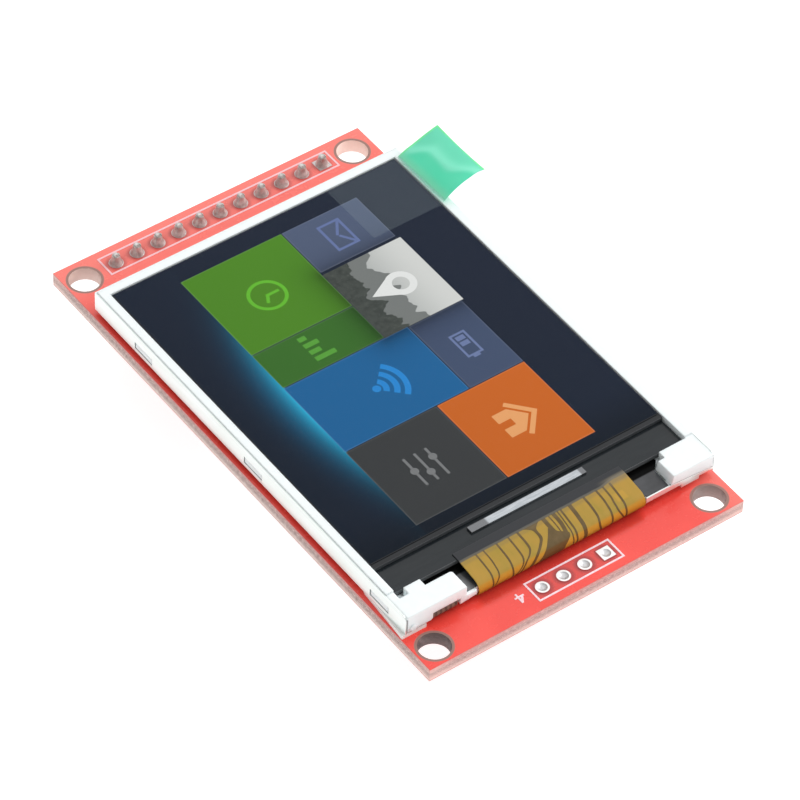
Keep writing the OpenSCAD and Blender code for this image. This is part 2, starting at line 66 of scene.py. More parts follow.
class Mat:
    """A small builder for node materials. Positions in shaders are in millimetres of the part's frame."""

    def __init__(self, name):
        self.m = bpy.data.materials.new(name)
        self.m.use_nodes = True
        self.t = self.m.node_tree
        self.t.nodes.clear()
        self.out = self.t.nodes.new("ShaderNodeOutputMaterial")
        self._pos = None
        self._xyz = None

    def node(self, kind, **props):
        n = self.t.nodes.new(kind)
        for k, v in props.items():
            setattr(n, k, v)
        return n

    def link(self, a, b):
        self.t.links.new(a, b)

    def put(self, socket, value):
        if isinstance(value, bpy.types.NodeSocket):
            self.link(value, socket)
        elif value is not None:
            if isinstance(value, (tuple, list)) and len(value) == 3 and len(socket.default_value) == 4:
                value = (*value, 1.0)
            socket.default_value = value

    def pos(self):
        """Object position in millimetres."""
        if self._pos is None:
            c = self.node("ShaderNodeTexCoord")
            s = self.node("ShaderNodeVectorMath", operation="SCALE")
            s.inputs["Scale"].default_value = 1000.0
            self.link(c.outputs["Object"], s.inputs[0])
            self._pos = s.outputs[0]
        return self._pos

    def xyz(self):
        if self._xyz is None:
            s = self.node("ShaderNodeSeparateXYZ")
            self.link(self.pos(), s.inputs[0])
            self._xyz = (s.outputs[0], s.outputs[1], s.outputs[2])
        return self._xyz

    def normal_z(self):
        g = self.node("ShaderNodeNewGeometry")
        s = self.node("ShaderNodeSeparateXYZ")
        self.link(g.outputs["True Normal"], s.inputs[0])
        return s.outputs[2]

    def math(self, op, a, b=None, c=None, clamp=False):
        n = self.node("ShaderNodeMath", operation=op, use_clamp=clamp)
        self.put(n.inputs[0], a)
        if b is not None:
            self.put(n.inputs[1], b)
        if c is not None:
            self.put(n.inputs[2], c)
        return n.outputs[0]

    def step(self, v, lo, hi):
        """0 below lo, 1 above hi, smooth between. lo may be above hi."""
        n = self.node("ShaderNodeMapRange", interpolation_type="SMOOTHSTEP")
        self.put(n.inputs["Value"], v)
        if lo <= hi:
            n.inputs["From Min"].default_value, n.inputs["From Max"].default_value = lo, hi
            n.inputs["To Min"].default_value, n.inputs["To Max"].default_value = 0.0, 1.0
        else:
            n.inputs["From Min"].default_value, n.inputs["From Max"].default_value = hi, lo
            n.inputs["To Min"].default_value, n.inputs["To Max"].default_value = 1.0, 0.0
        return n.outputs["Result"]

    def band(self, v, lo, hi, soft):
        """1 between lo and hi with soft edges."""
        return self.math("MULTIPLY", self.step(v, lo - soft, lo + soft), self.step(v, hi + soft, hi - soft))

    def box(self, x0, x1, y0, y1, soft):
        x, y, _ = self.xyz()
        return self.math("MULTIPLY", self.band(x, x0, x1, soft), self.band(y, y0, y1, soft))

    def noise(self, scale, detail=3.0, rough=0.5, stretch=(1, 1, 1), at=None, distortion=0.0):
        mp = self.node("ShaderNodeMapping")
        mp.inputs["Scale"].default_value = stretch
        self.link(at if at is not None else self.pos(), mp.inputs["Vector"])
        n = self.node("ShaderNodeTexNoise")
        n.inputs["Scale"].default_value = scale
        n.inputs["Detail"].default_value = detail
        n.inputs["Roughness"].default_value = rough
        n.inputs["Distortion"].default_value = distortion
        self.link(mp.outputs[0], n.inputs["Vector"])
        return n.outputs["Fac"]

    def ramp(self, v, stops, mode="LINEAR"):
        n = self.node("ShaderNodeValToRGB")
        n.color_ramp.interpolation = mode
        e = n.color_ramp.elements
        while len(e) < len(stops):
            e.new(0.5)
        for k, (p, c) in enumerate(stops):
            e[k].position = p
            c = (c, c, c) if isinstance(c, (int, float)) else c
            e[k].color = (*c[:3], 1.0)
        self.link(v, n.inputs[0])
        return n.outputs["Color"]

    def mix(self, fac, a, b, blend="MIX"):
        n = self.node("ShaderNodeMix", data_type="RGBA", blend_type=blend)
        self.put(n.inputs[0], fac)
        self.put(n.inputs[6], a)
        self.put(n.inputs[7], b)
        return n.outputs[2]

    def lerp(self, fac, a, b):
        n = self.node("ShaderNodeMix", data_type="FLOAT")
        self.put(n.inputs[0], fac)
        self.put(n.inputs[2], a)
        self.put(n.inputs[3], b)
        return n.outputs[0]

    def bump(self, height, strength, dist=0.00002, normal=None):
        n = self.node("ShaderNodeBump")
        n.inputs["Strength"].default_value = strength
        n.inputs["Distance"].default_value = dist
        self.link(height, n.inputs["Height"])
        if normal is not None:
            self.link(normal, n.inputs["Normal"])
        return n.outputs[0]

    def principled(self, **kw):
        n = self.node("ShaderNodeBsdfPrincipled")
        for k, v in kw.items():
            self.put(n.inputs[k.replace("_", " ")], v)
        return n

    def done(self, shader):
        self.link(shader.outputs[0] if hasattr(shader, "outputs") else shader, self.out.inputs["Surface"])
        return self.m


def srgb(r, g, b):
    f = lambda c: (c / 255) / 12.92 if c / 255 <= 0.04045 else ((c / 255 + 0.055) / 1.055) ** 2.4
    return (f(r), f(g), f(b))


# ------------------------------------------------------------------ mesh helpers

def new_object(name, bm, mat, smooth=False):
    bmesh.ops.recalc_face_normals(bm, faces=bm.faces)
    if smooth:
        for e in bm.edges:
            if len(e.link_faces) == 2 and e.calc_face_angle(0.0) > 0.6:
                e.smooth = False
    me = bpy.data.meshes.new(name)
    bm.to_mesh(me)
    bm.free()
    if smooth:
        me.polygons.foreach_set("use_smooth", [True] * len(me.polygons))
    ob = bpy.data.objects.new(name, me)
    bpy.context.scene.collection.objects.link(ob)
    if mat is not None:
        me.materials.append(mat)
    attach(ob, ROOT)
    return ob


def prism(bm, poly, z0, z1):
    """A closed slab from a simple polygon in XY, in millimetres."""
    lo = [bm.verts.new((x * MM, y * MM, z0 * MM)) for x, y in poly]
    hi = [bm.verts.new((x * MM, y * MM, z1 * MM)) for x, y in poly]
    bm.faces.new(hi)
    bm.faces.new(lo[::-1])
    n = len(poly)
    for i in range(n):
        j = (i + 1) % n
        bm.faces.new((lo[i], lo[j], hi[j], hi[i]))


def ring(bm, outer, inner, z0, z1):
    """A closed ring slab from two polygons of equal length, in XY millimetres."""
    n = len(outer)
    vs = [[bm.verts.new((x * MM, y * MM, z * MM)) for x, y in p] for z in (z0, z1) for p in (outer, inner)]
    lo_o, lo_i, hi_o, hi_i = vs[0], vs[1], vs[2], vs[3]
    for i in range(n):
        j = (i + 1) % n
        bm.faces.new((hi_o[i], hi_o[j], hi_i[j], hi_i[i]))
        bm.faces.new((lo_o[j], lo_o[i], lo_i[i], lo_i[j]))
        bm.faces.new((lo_o[i], lo_o[j], hi_o[j], hi_o[i]))
        bm.faces.new((lo_i[j], lo_i[i], hi_i[i], hi_i[j]))


def rect(x0, x1, y0, y1):
    return [(x0, y0), (x1, y0), (x1, y1), (x0, y1)]


def circle(cx, cy, r, n=40, a0=0.0):
    return [(cx + r * math.cos(a0 + 2 * math.pi * i / n), cy + r * math.sin(a0 + 2 * math.pi * i / n)) for i in range(n)]


def clean(node, width, segments=2, angle=35):
    """Joins the flat triangles of a CAD node and rounds its sharp edges a little, with modifiers."""
    ob = NODES[node]
    w = ob.modifiers.new("weld", "WELD"); w.merge_threshold = 2e-6
    d = ob.modifiers.new("flat", "DECIMATE"); d.decimate_type = "DISSOLVE"; d.angle_limit = math.radians(1.0)
    b = ob.modifiers.new("edge", "BEVEL")
    b.width = width * MM; b.segments = segments; b.limit_method = "ANGLE"; b.angle_limit = math.radians(angle)
    b.use_clamp_overlap = True
    b.harden_normals = False
    return ob


def paint(node, mat):
    ob = NODES[node]
    ob.data.materials.clear()
    ob.data.materials.append(mat)
    return ob


# ------------------------------------------------------------------ camera, light, floor

cam_data = bpy.data.cameras.new("camera")
cam = bpy.data.objects.new("camera", cam_data)
bpy.context.scene.collection.objects.link(cam)
cam_data.lens = 220.6
cam_data.sensor_width = 36.0
cam_data.clip_start, cam_data.clip_end = 0.01, 10.0
fwd = Vector((0.42669588, 0.54273916, -0.72343958)).normalized()
right = Vector((0.80574391, -0.59142357, 0.03154221)).normalized()
up = right.cross(fwd)
cam.matrix_world = Matrix((
    (right.x, up.x, -fwd.x, -0.20512), (right.y, up.y, -fwd.y, -0.26236), (right.z, up.z, -fwd.z, 0.34716 + 0.0016), (0, 0, 0, 1)))
bpy.context.scene.camera = cam

scene = bpy.context.scene
scene.view_settings.view_transform = "Standard"
scene.view_settings.look = "None"

world = bpy.data.worlds.new("studio")
scene.world = world
world.use_nodes = True
wt = world.node_tree
wt.nodes.clear()
w_out = wt.nodes.new("ShaderNodeOutputWorld")
w_bg = wt.nodes.new("ShaderNodeBackground")
w_bg.inputs["Color"].default_value = (1.0, 1.0, 1.0, 1.0)
w_tc = wt.nodes.new("ShaderNodeTexCoord")
w_dot = wt.nodes.new("ShaderNodeVectorMath")
w_dot.operation = "DOT_PRODUCT"
w_dot.inputs[1].default_value = (0.93, 0.30, 0.0)
w_map = wt.nodes.new("ShaderNodeMapRange")
w_map.interpolation_type = "SMOOTHSTEP"
w_map.inputs["From Min"].default_value = -0.75
w_map.inputs["From Max"].default_value = 0.35
w_map.inputs["To Min"].default_value = 0.42
w_map.inputs["To Max"].default_value = 1.12
wt.links.new(w_tc.outputs["Generated"], w_dot.inputs[0])
wt.links.new(w_dot.outputs["Value"], w_map.inputs["Value"])
wt.links.new(w_map.outputs["Result"], w_bg.inputs["Strength"])
wt.links.new(w_bg.outputs[0], w_out.inputs[0])


def softbox(name, loc, target, size, power, color=(1, 1, 1)):
    d = bpy.data.lights.new(name, "AREA")
    d.shape = "RECTANGLE"
    d.size, d.size_y = size
    d.energy = power
    d.color = color
    o = bpy.data.objects.new(name, d)
    scene.collection.objects.link(o)
    o.location = loc
    o.rotation_mode = "QUATERNION"
    o.rotation_quaternion = (Vector(target) - Vector(loc)).to_track_quat("-Z", "Y")
    return o


softbox("key", (0.52, -0.10, 0.36), (0, 0, 0), (0.34, 0.30), 1.9)

m = Mat("paper_floor")
grain = m.noise(3.0, 2.0)
p = m.principled(Base_Color=m.ramp(grain, [(0.0, (0.40, 0.40, 0.405)), (1.0, (0.43, 0.43, 0.43))]), Roughness=0.9,
                 Emission_Color=(1, 1, 1), Emission_Strength=0.84)
floor_mat = m.done(p)
bm = bmesh.new()
s = 1.6
fz = CAD_BOX[0][2] - 0.0001
vs = [bm.verts.new(v) for v in ((-s, -s, fz), (s, -s, fz), (s, s, fz), (-s, s, fz))]
bm.faces.new(vs)
me = bpy.data.meshes.new("floor")
bm.to_mesh(me); bm.free()
me.materials.append(floor_mat)
floor = bpy.data.objects.new("floor", me)
scene.collection.objects.link(floor)


# ------------------------------------------------------------------ positions taken from the frame

def mmbox(node):
    lo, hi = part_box(node)
    return [v / MM for v in lo], [v / MM for v in hi]


BLO, BHI = mmbox("circuit_board")
TOP = BHI[2]
HEAD_LO, HEAD_HI = mmbox("header_pins")
HEAD_X0 = (HEAD_LO[0] + HEAD_HI[0]) / 2 - 2.54 * 5
HEAD_Y = (HEAD_LO[1] + HEAD_HI[1]) / 2
CARD_LO, CARD_HI = mmbox("card_row_solder")
CARD_X0 = (CARD_LO[0] + CARD_HI[0]) / 2 - 2.54 * 1.5
CARD_Y = (CARD_LO[1] + CARD_HI[1]) / 2
POL_LO, POL_HI = mmbox("front_polarizer")
TRAY_LO, TRAY_HI = mmbox("metal_tray")
FRAME_X0 = TRAY_LO[0] + 0.15
HOLES = [(sx * 16.5, sy * 29.35) for sx in (-1, 1) for sy in (-1, 1)]


# ------------------------------------------------------------------ board

def row_distance(m, x0, pitch, y, last):
    """Distance to the nearest centre of a row of holes, in millimetres."""
    px, py, _ = m.xyz()
    u = m.math("DIVIDE", m.math("SUBTRACT", px, x0), pitch)
    u = m.math("MULTIPLY", m.math("SUBTRACT", u, m.math("MINIMUM", m.math("MAXIMUM", m.math("ROUND", u), 0.0), float(last))), pitch)
    v = m.math("SUBTRACT", py, y)
    return m.math("SQRT", m.math("ADD", m.math("MULTIPLY", u, u), m.math("MULTIPLY", v, v)))


def hole_distance(m):
    """Distance to the nearest mounting hole's centre."""
    px, py, _ = m.xyz()
    u = m.math("SUBTRACT", m.math("ABSOLUTE", px), 16.5)
    v = m.math("SUBTRACT", m.math("ABSOLUTE", py), 29.35)
    return m.math("SQRT", m.math("ADD", m.math("MULTIPLY", u, u), m.math("MULTIPLY", v, v)))


def board_material():
    m = Mat("red_board")
    x, y, z = m.xyz()
    nz = m.math("ABSOLUTE", m.normal_z())
    side = m.step(nz, 0.6, 0.4)
    # solder mask over copper
    cloud = m.noise(0.25, 2.0)
    red = m.ramp(cloud, [(0.35, (0.88, 0.058, 0.042)), (0.65, (0.94, 0.070, 0.050))])
    # painted sheen: the mask is painted paler towards the back and the right side, standing in for the reflection of
    # the white surroundings
    far = m.math("MAXIMUM", m.step(y, 22.0, 31.0), m.math("MULTIPLY", m.step(x, 14.0, 19.0), 0.8))
    red = m.mix(m.math("MULTIPLY", far, 0.66), red, (0.94, 0.245, 0.20))
    d_card = row_distance(m, CARD_X0, 2.54, CARD_Y, 3)
    d_head = row_distance(m, HEAD_X0, 2.54, HEAD_Y, 10)
    in_card = m.box(-4.95, 5.1, -30.55, -28.0, 0.04)
    in_head = m.box(-13.9, 14.2, 28.4, 31.0, 0.04)
    inside = m.math("MAXIMUM", in_card, m.math("MULTIPLY", in_head, 0.35))
    red = m.mix(m.math("MULTIPLY", inside, 0.45), red, (0.50, 0.035, 0.035))
    near = m.math("MULTIPLY", m.step(d_card, 1.30, 0.82), 0.62)
    gap = m.math("MAXIMUM", m.math("MULTIPLY", near, in_card), m.math("MULTIPLY", m.step(d_head, 1.25, 0.80), 0.45))
    red = m.mix(gap, red, (0.24, 0.018, 0.022))
    # painted shadow of the flex on the board in front of its bend
    painted_flex_shadow = m.math("MULTIPLY", m.box(-9.7, 9.7, -28.0, -26.5, 0.55), 0.5)
    red = m.mix(painted_flex_shadow, red, (0.34, 0.014, 0.012))
    # bare laminate ring round the mounting holes
    d_hole = hole_distance(m)
    bare = m.math("MULTIPLY", m.step(d_hole, 1.98, 1.86), m.step(nz, 0.4, 0.6))
    red = m.mix(bare, red, (0.30, 0.16, 0.13))
    # laminate edge: glass cloth layers seen end on
    along = m.math("ADD", x, y)
    c = m.node("ShaderNodeCombineXYZ")
    m.link(along, c.inputs[0]); m.link(z, c.inputs[2])
    fibre = m.noise(2.4, 5.0, 0.72, (1.0, 1.0, 3.2), at=c.outputs[0])
    specks = m.noise(9.0, 2.0, 0.7, (1.0, 1.0, 1.6), at=c.outputs[0])
    edge = m.ramp(fibre, [(0.36, (0.22, 0.13, 0.12)), (0.46, (0.46, 0.30, 0.28)), (0.54, (0.64, 0.46, 0.42)), (0.64, (0.90, 0.74, 0.69))])
    edge = m.mix(m.math("MULTIPLY", m.step(z, 1.05, 1.5), 0.50), edge, (0.56, 0.17, 0.15))
    edge = m.mix(m.math("MULTIPLY", m.step(z, 0.80, 0.20), 0.66), edge, (0.92, 0.74, 0.67))
    front = m.step(y, BLO[1] + 0.12, BLO[1] + 0.04)
    edge = m.mix(m.math("MULTIPLY", front, 0.34), edge, (0.70, 0.24, 0.22))
    edge = m.mix(m.math("MULTIPLY", m.step(m.math("ADD", m.math("ABSOLUTE", x), m.math("ABSOLUTE", y)), 46.5, 50.0), 0.45), edge, (0.94, 0.60, 0.53))
    mid = m.math("MULTIPLY", m.band(z, 0.55, 1.1, 0.2), m.step(specks, 0.42, 0.56))
    edge = m.mix(m.math("MULTIPLY", mid, 0.65), edge, (0.30, 0.20, 0.18))
    edge = m.mix(m.step(z, 1.50, 1.58), edge, (0.62, 0.06, 0.045))
    edge = m.mix(m.step(z, 0.10, 0.02), edge, (0.62, 0.06, 0.045))
    # drilled wall: painted shade, dark inside the holes, and painted paler in the holes towards the back and right of
    # the board
    wall_noise = m.noise(3.0, 3.0, 0.6, (1, 1, 4))
    wall = m.ramp(wall_noise, [(0.3, (0.055, 0.022, 0.022)), (0.7, (0.16, 0.08, 0.07))])
    pale = m.math("ADD", m.math("MULTIPLY", m.step(y, 0.0, 10.0), 0.74), m.math("MULTIPLY", m.step(x, 0.0, 10.0), 0.26))
    wall = m.mix(pale, wall, (0.92, 0.70, 0.63))
    drilled = m.step(d_hole, 2.1, 1.9)
    edge = m.mix(drilled, edge, wall)
    color = m.mix(side, red, edge)
    rough = m.lerp(side, m.ramp(m.noise(1.2, 3.0), [(0.3, 0.20), (0.7, 0.30)]), 0.75)
    rough = m.lerp(m.math("MULTIPLY", bare, 0.7), rough, 0.6)
    fine = m.noise(1.6, 2.0)
    h = m.math("ADD", m.math("MULTIPLY", fine, m.math("SUBTRACT", 1.0, side)), m.math("MULTIPLY", fibre, m.math("MULTIPLY", side, 3.0)))
    nrm = m.bump(h, 0.35, 0.00001)
    p = m.principled(Base_Color=color, Roughness=rough, Normal=nrm, IOR=1.5, Coat_Weight=0.35, Coat_Roughness=0.12)
    return m.done(p)


def ink_material():
    m = Mat("legend_ink")
    n = m.noise(5.0, 3.0, 0.6)
    x, y, z = m.xyz()
    ink_c = m.ramp(n, [(0.3, (0.88, 0.60, 0.66)), (0.6, (0.98, 0.78, 0.83))])
    ink_c = m.mix(m.math("MULTIPLY", m.step(y, 0.0, 20.0), 0.55), ink_c, (0.90, 0.42, 0.44))
    p = m.principled(Base_Color=ink_c, Roughness=0.6,
                     Normal=m.bump(n, 0.3, 0.00001))
    return m.done(p)


def metal(name, lo, hi, rough, scale=2.0, stretch=(1, 1, 1), strength=0.2, metallic=1.0, detail=3.0):
    m = Mat(name)
    n = m.noise(scale, detail, 0.55, stretch)
    f = m.noise(scale * 5, 2.0, 0.5, stretch)
    p = m.principled(Base_Color=m.ramp(n, [(0.3, lo), (0.7, hi)]), Metallic=metallic,
                     Roughness=m.ramp(f, [(0.3, rough[0]), (0.7, rough[1])]), Normal=m.bump(n, strength, 0.00002))
    return m.done(p)


def plastic(name, lo, hi, rough, scale=2.0, strength=0.15, sss=0.0, coat=0.0):
    m = Mat(name)
    n = m.noise(scale, 3.0)
    f = m.noise(scale * 8, 2.0)
    kw = {}
    if coat:
        kw = dict(Coat_Weight=coat, Coat_Roughness=0.15)
    p = m.principled(Base_Color=m.ramp(n, [(0.3, lo), (0.7, hi)]), Roughness=m.ramp(f, [(0.3, rough[0]), (0.7, rough[1])]),
                     Normal=m.bump(f, strength, 0.00001), **kw)
    if sss:
        p.inputs["Subsurface Weight"].default_value = sss
        p.inputs["Subsurface Radius"].default_value = (0.0006, 0.0006, 0.0006)
        p.inputs["Subsurface Scale"].default_value = 1.0
    return m.done(p)


board = board_material()
paint("circuit_board", board)
ink = ink_material()
paint("silkscreen", ink)
land = metal("tinned_land", (0.52, 0.47, 0.46), (0.72, 0.68, 0.67), (0.35, 0.5), 3.0)
paint("header_pads", land)
m = Mat("bright_land")
x, y, z = m.xyz()
n = m.noise(3.0, 3.0)
d_round = row_distance(m, CARD_X0, 2.54, CARD_Y, 3)
last_x = CARD_X0 + 2.54 * 3
d_square = m.math("MAXIMUM", m.math("ABSOLUTE", m.math("SUBTRACT", x, last_x)), m.math("ABSOLUTE", m.math("SUBTRACT", y, CARD_Y)))
d = m.lerp(m.step(x, last_x - 1.25, last_x - 1.20), d_round, d_square)
lap = m.step(d, 0.700, 0.725)
p = m.principled(Base_Color=m.mix(lap, m.ramp(n, [(0.3, (0.90, 0.90, 0.89)), (0.7, (0.99, 0.99, 0.98))]), (0.42, 0.03, 0.03)),
                 Metallic=m.math("SUBTRACT", 1.0, lap), Roughness=m.lerp(lap, 0.42, 0.30), Normal=m.bump(n, 0.2, 0.00002))
paint("card_row_pads", m.done(p))
solder = metal("solder_fill", (0.60, 0.60, 0.61), (0.72, 0.72, 0.73), (0.45, 0.6), 4.0, strength=0.3)
paint("card_row_solder", solder)
paint("flex_solder", solder)
paint("component_pads", solder)
joint = metal("solder_joint", (0.36, 0.33, 0.31), (0.74, 0.73, 0.71), (0.28, 0.46), 1.9, strength=0.9, metallic=0.55)
paint("header_solder", joint)
paint("header_housing", plastic("black_housing", (0.012, 0.012, 0.013), (0.022, 0.022, 0.024), (0.42, 0.6), 3.0, 0.4))
gold = metal("gold_plate", (0.80, 0.60, 0.26), (0.95, 0.77, 0.42), (0.16, 0.30), 2.0, (1, 1, 0.3))
m = Mat("pin_plate")
x, y, z = m.xyz()
n = m.noise(2.5, 3.0)
wet = m.step(z, 1.4, 1.7)
p = m.principled(Base_Color=m.mix(wet, m.ramp(n, [(0.3, (0.80, 0.60, 0.26)), (0.7, (0.95, 0.77, 0.42))]), m.ramp(n, [(0.3, (0.46, 0.45, 0.43)), (0.7, (0.72, 0.72, 0.70))])),
                 Metallic=1.0, Roughness=m.lerp(wet, 0.22, 0.36), Normal=m.bump(n, 0.3, 0.00003))
paint("header_pins", m.done(p))
paint("socket_contacts", gold)
paint("adhesive_strips", plastic("foam_tape", (0.86, 0.85, 0.81), (0.96, 0.95, 0.93), (0.8, 0.95), 6.0, 1.0))
m = Mat("tray_steel")
n = m.noise(0.6, 3.0, 0.5, (1, 0.35, 2.0))
fine = m.noise(5.0, 2.0, 0.5, (1, 0.2, 1.0))
p = m.principled(Base_Color=m.ramp(n, [(0.3, (0.86, 0.93, 0.89)), (0.7, (0.92, 0.97, 0.96))]), Metallic=0.75,
                 Roughness=m.ramp(fine, [(0.3, 0.34), (0.7, 0.42)]), Normal=m.bump(fine, 0.05, 0.00001))
paint("metal_tray", m.done(p))
m = Mat("white_frame")
x, y, z = m.xyz()
n = m.noise(1.2, 3.0)
fine = m.noise(9.0, 2.0)
body = m.ramp(n, [(0.3, (0.875, 0.955, 0.965)), (0.7, (0.905, 0.975, 0.985))])
# the gap round each latch, seen through the windows of the tray, lies in shade
deep = m.math("MULTIPLY", m.step(x, FRAME_X0 - 0.06, FRAME_X0 - 0.02), m.step(x, FRAME_X0 + 0.10, FRAME_X0 + 0.04))
slot = None
for wy in (16.48, -2.2, -22.8):
    w_ = m.math("MULTIPLY", m.band(y, wy - 1.5, wy + 1.5, 0.02), m.band(z, 2.50, 3.30, 0.02))
    slot = w_ if slot is None else m.math("MAXIMUM", slot, w_)
shade = m.math("MULTIPLY", deep, slot)
body = m.mix(m.math("MULTIPLY", shade, 0.93), body, (0.05, 0.05, 0.05))
# painted shade: a thin dark line is painted on the front face along the lip of the tray and the ends of its walls,
# where they meet it
face = m.step(y, TRAY_LO[1] + 0.22, TRAY_LO[1] + 0.18)
zl = m.math("ADD", TRAY_LO[2] + 1.19, m.math("MULTIPLY", m.math("SUBTRACT", x, 13.2), -0.0982))
contact_shade = m.math("MULTIPLY", m.band(m.math("SUBTRACT", z, zl), -0.06, 0.05, 0.02), m.step(x, 13.3, 13.5))
contact_shade = m.math("MAXIMUM", contact_shade, m.math("MULTIPLY", m.step(x, TRAY_HI[0] - 0.24, TRAY_HI[0] - 0.20), m.band(z, TRAY_LO[2] + 0.66, TRAY_LO[2] + 1.95, 0.05)))
contact_shade = m.math("MAXIMUM", contact_shade, m.math("MULTIPLY", m.step(x, TRAY_LO[0] + 0.27, TRAY_LO[0] + 0.21), m.band(z, TRAY_LO[2] + 0.1, TRAY_LO[2] + 2.0, 0.05)))
body = m.mix(m.math("MULTIPLY", m.math("MULTIPLY", contact_shade, face), 0.80), body, (0.16, 0.17, 0.17))
bev = m.node("ShaderNodeBevel")
bev.samples = 6
bev.inputs["Radius"].default_value = 0.00022
p = m.principled(Base_Color=body, Roughness=m.ramp(fine, [(0.3, 0.38), (0.7, 0.5)]), Normal=m.bump(fine, 0.12, 0.00001, bev.outputs[0]),
                 Subsurface_Weight=0.35, Subsurface_Scale=1.0, Subsurface_Radius=(0.0007, 0.0007, 0.0007))
white = m.done(p)
paint("plastic_frame", white)
paint("reflector", metal("silver_foil", (0.90, 0.91, 0.92), (0.96, 0.96, 0.97), (0.05, 0.12), 0.6))
paint("light_guide", plastic("clear_guide", (0.86, 0.92, 0.94), (0.92, 0.96, 0.98), (0.1, 0.2), 1.0))
paint("diffuser", plastic("diffuser_film", (0.90, 0.90, 0.90), (0.96, 0.96, 0.96), (0.7, 0.85), 2.0))


def prism_material():
    m = Mat("prism_film")
    x, y, z = m.xyz()
    rib = m.math("PINGPONG", m.math("MULTIPLY", x, 10.0), 1.0)
    p = m.principled(Base_Color=m.ramp(rib, [(0.0, (0.80, 0.82, 0.85)), (1.0, (0.93, 0.94, 0.96))]), Roughness=0.15,
                     Normal=m.bump(rib, 0.5, 0.00003))
    return m.done(p)


prism_film = prism_material()
paint("lower_prism_sheet", prism_film)
paint("upper_prism_sheet", prism_film)
paint("rim_tape", plastic("black_tape", (0.012, 0.012, 0.012), (0.02, 0.02, 0.02), (0.5, 0.7), 4.0))
paint("rear_polarizer", plastic("polarizer", (0.03, 0.03, 0.04), (0.045, 0.045, 0.055), (0.1, 0.2), 1.0))
paint("leds", plastic("led_body", (0.95, 0.90, 0.62), (0.98, 0.95, 0.80), (0.3, 0.4), 2.0))
m = Mat("dark_tape")
x, y, z = m.xyz()
n = m.noise(0.7, 3.0)
f = m.noise(5.0, 2.0)
c = m.ramp(n, [(0.3, (0.030, 0.032, 0.036)), (0.7, (0.050, 0.052, 0.058))])
# painted reflection: the tape left of the flex is painted lighter
c = m.mix(m.math("MULTIPLY", m.math("MULTIPLY", m.step(x, -9.9, -10.6), m.step(y, -24.9, -25.5)), 0.8), c, (0.17, 0.175, 0.18))
# painted shade: the tape next to the glass's front edge is painted near black, with little gloss
under = m.step(y, -24.62, -24.42)
c = m.mix(under, c, (0.003, 0.003, 0.003))
p = m.principled(Base_Color=c, Roughness=m.ramp(f, [(0.3, 0.16), (0.7, 0.26)]), Specular_IOR_Level=m.lerp(under, 0.45, 0.04),
                 Coat_Weight=m.lerp(under, 0.30, 0.0), Coat_Roughness=0.15, Normal=m.bump(f, 0.25, 0.00001))
paint("led_cover_tape", m.done(p))
chip_epoxy = plastic("chip_epoxy", (0.02, 0.02, 0.022), (0.035, 0.035, 0.037), (0.5, 0.65), 6.0, 0.5)
paint("regulator", chip_epoxy)
paint("transistor", chip_epoxy)
lead_tin = metal("lead_tin", (0.70, 0.70, 0.71), (0.86, 0.86, 0.87), (0.25, 0.4), 5.0)
paint("regulator_leads", lead_tin)
paint("transistor_leads", lead_tin)
paint("socket_base", plastic("socket_plastic", (0.012, 0.012, 0.013), (0.02, 0.02, 0.022), (0.4, 0.55), 3.0, 0.4))
paint("socket_shell", metal("socket_steel", (0.66, 0.67, 0.68), (0.80, 0.81, 0.82), (0.22, 0.36), 1.0, (0.2, 4.0, 1.0), 0.2))


def ended(name, centres, half, cap, body_lo, body_hi):
    """A small ceramic part with tinned ends, found by its place on the board."""
    m = Mat(name)
    x, y, z = m.xyz()
    ends = None
    for cx, cy in centres:
        e = m.math("MULTIPLY", m.step(m.math("ABSOLUTE", m.math("SUBTRACT", x, cx)), half - cap - 0.03, half - cap + 0.03),
                   m.math("MULTIPLY", m.step(m.math("ABSOLUTE", m.math("SUBTRACT", x, cx)), half + 0.3, half + 0.2),
                          m.step(m.math("ABSOLUTE", m.math("SUBTRACT", y, cy)), 1.0, 0.9)))
        ends = e if ends is None else m.math("MAXIMUM", ends, e)
    n = m.noise(5.0, 3.0)
    tin = m.ramp(n, [(0.3, (0.66, 0.66, 0.67)), (0.7, (0.84, 0.84, 0.85))])
    p = m.principled(Base_Color=m.mix(ends, m.ramp(n, [(0.3, body_lo), (0.7, body_hi)]), tin), Metallic=ends,
                     Roughness=m.lerp(ends, 0.42, 0.30), Normal=m.bump(n, 0.3, 0.00002))
    return m.done(p)


paint("capacitors", ended("cap_ceramic", [(4.3, 22.3), (4.3, 18.6), (-15.2, 15.2), (15.2, 10.5)], 1.0, 0.32, (0.36, 0.23, 0.13), (0.46, 0.31, 0.19)))
paint("resistors", ended("res_coat", [(-9, -21.5), (-5, -21.5), (-1, -21.5), (3, -21.5), (-3.5, 22.5), (-3.5, 19.5), (-3.5, 16.5)], 0.8, 0.24,
                         (0.02, 0.02, 0.022), (0.04, 0.04, 0.042)))


# ------------------------------------------------------------------ glass

def glass_material(name, lo, hi, edge, haze):
    m = Mat(name)
    nz = m.math("ABSOLUTE", m.normal_z())
    side = m.step(nz, 0.97, 0.6)
    n = m.noise(0.5, 3.0, 0.6, (0.4, 2.0, 1))
    c = m.ramp(n, [(0.3, lo), (0.7, hi)])
    c = m.mix(side, c, edge)
    rough = m.lerp(side, m.ramp(m.noise(1.5, 3.0), [(0.35, haze), (0.7, haze + 0.10)]), 0.35)
    p = m.principled(Base_Color=c, Roughness=rough, IOR=1.5, Specular_IOR_Level=0.38, Normal=m.bump(m.noise(0.8, 2.0), 0.05, 0.00002))
    return m.done(p)


paint("tft_glass", glass_material("ledge_glass", (0.008, 0.012, 0.015), (0.015, 0.019, 0.022), (0.10, 0.105, 0.11), 0.12))
paint("color_filter_glass", glass_material("filter_glass", (0.006, 0.008, 0.010), (0.010, 0.012, 0.015), (0.05, 0.055, 0.06), 0.10))

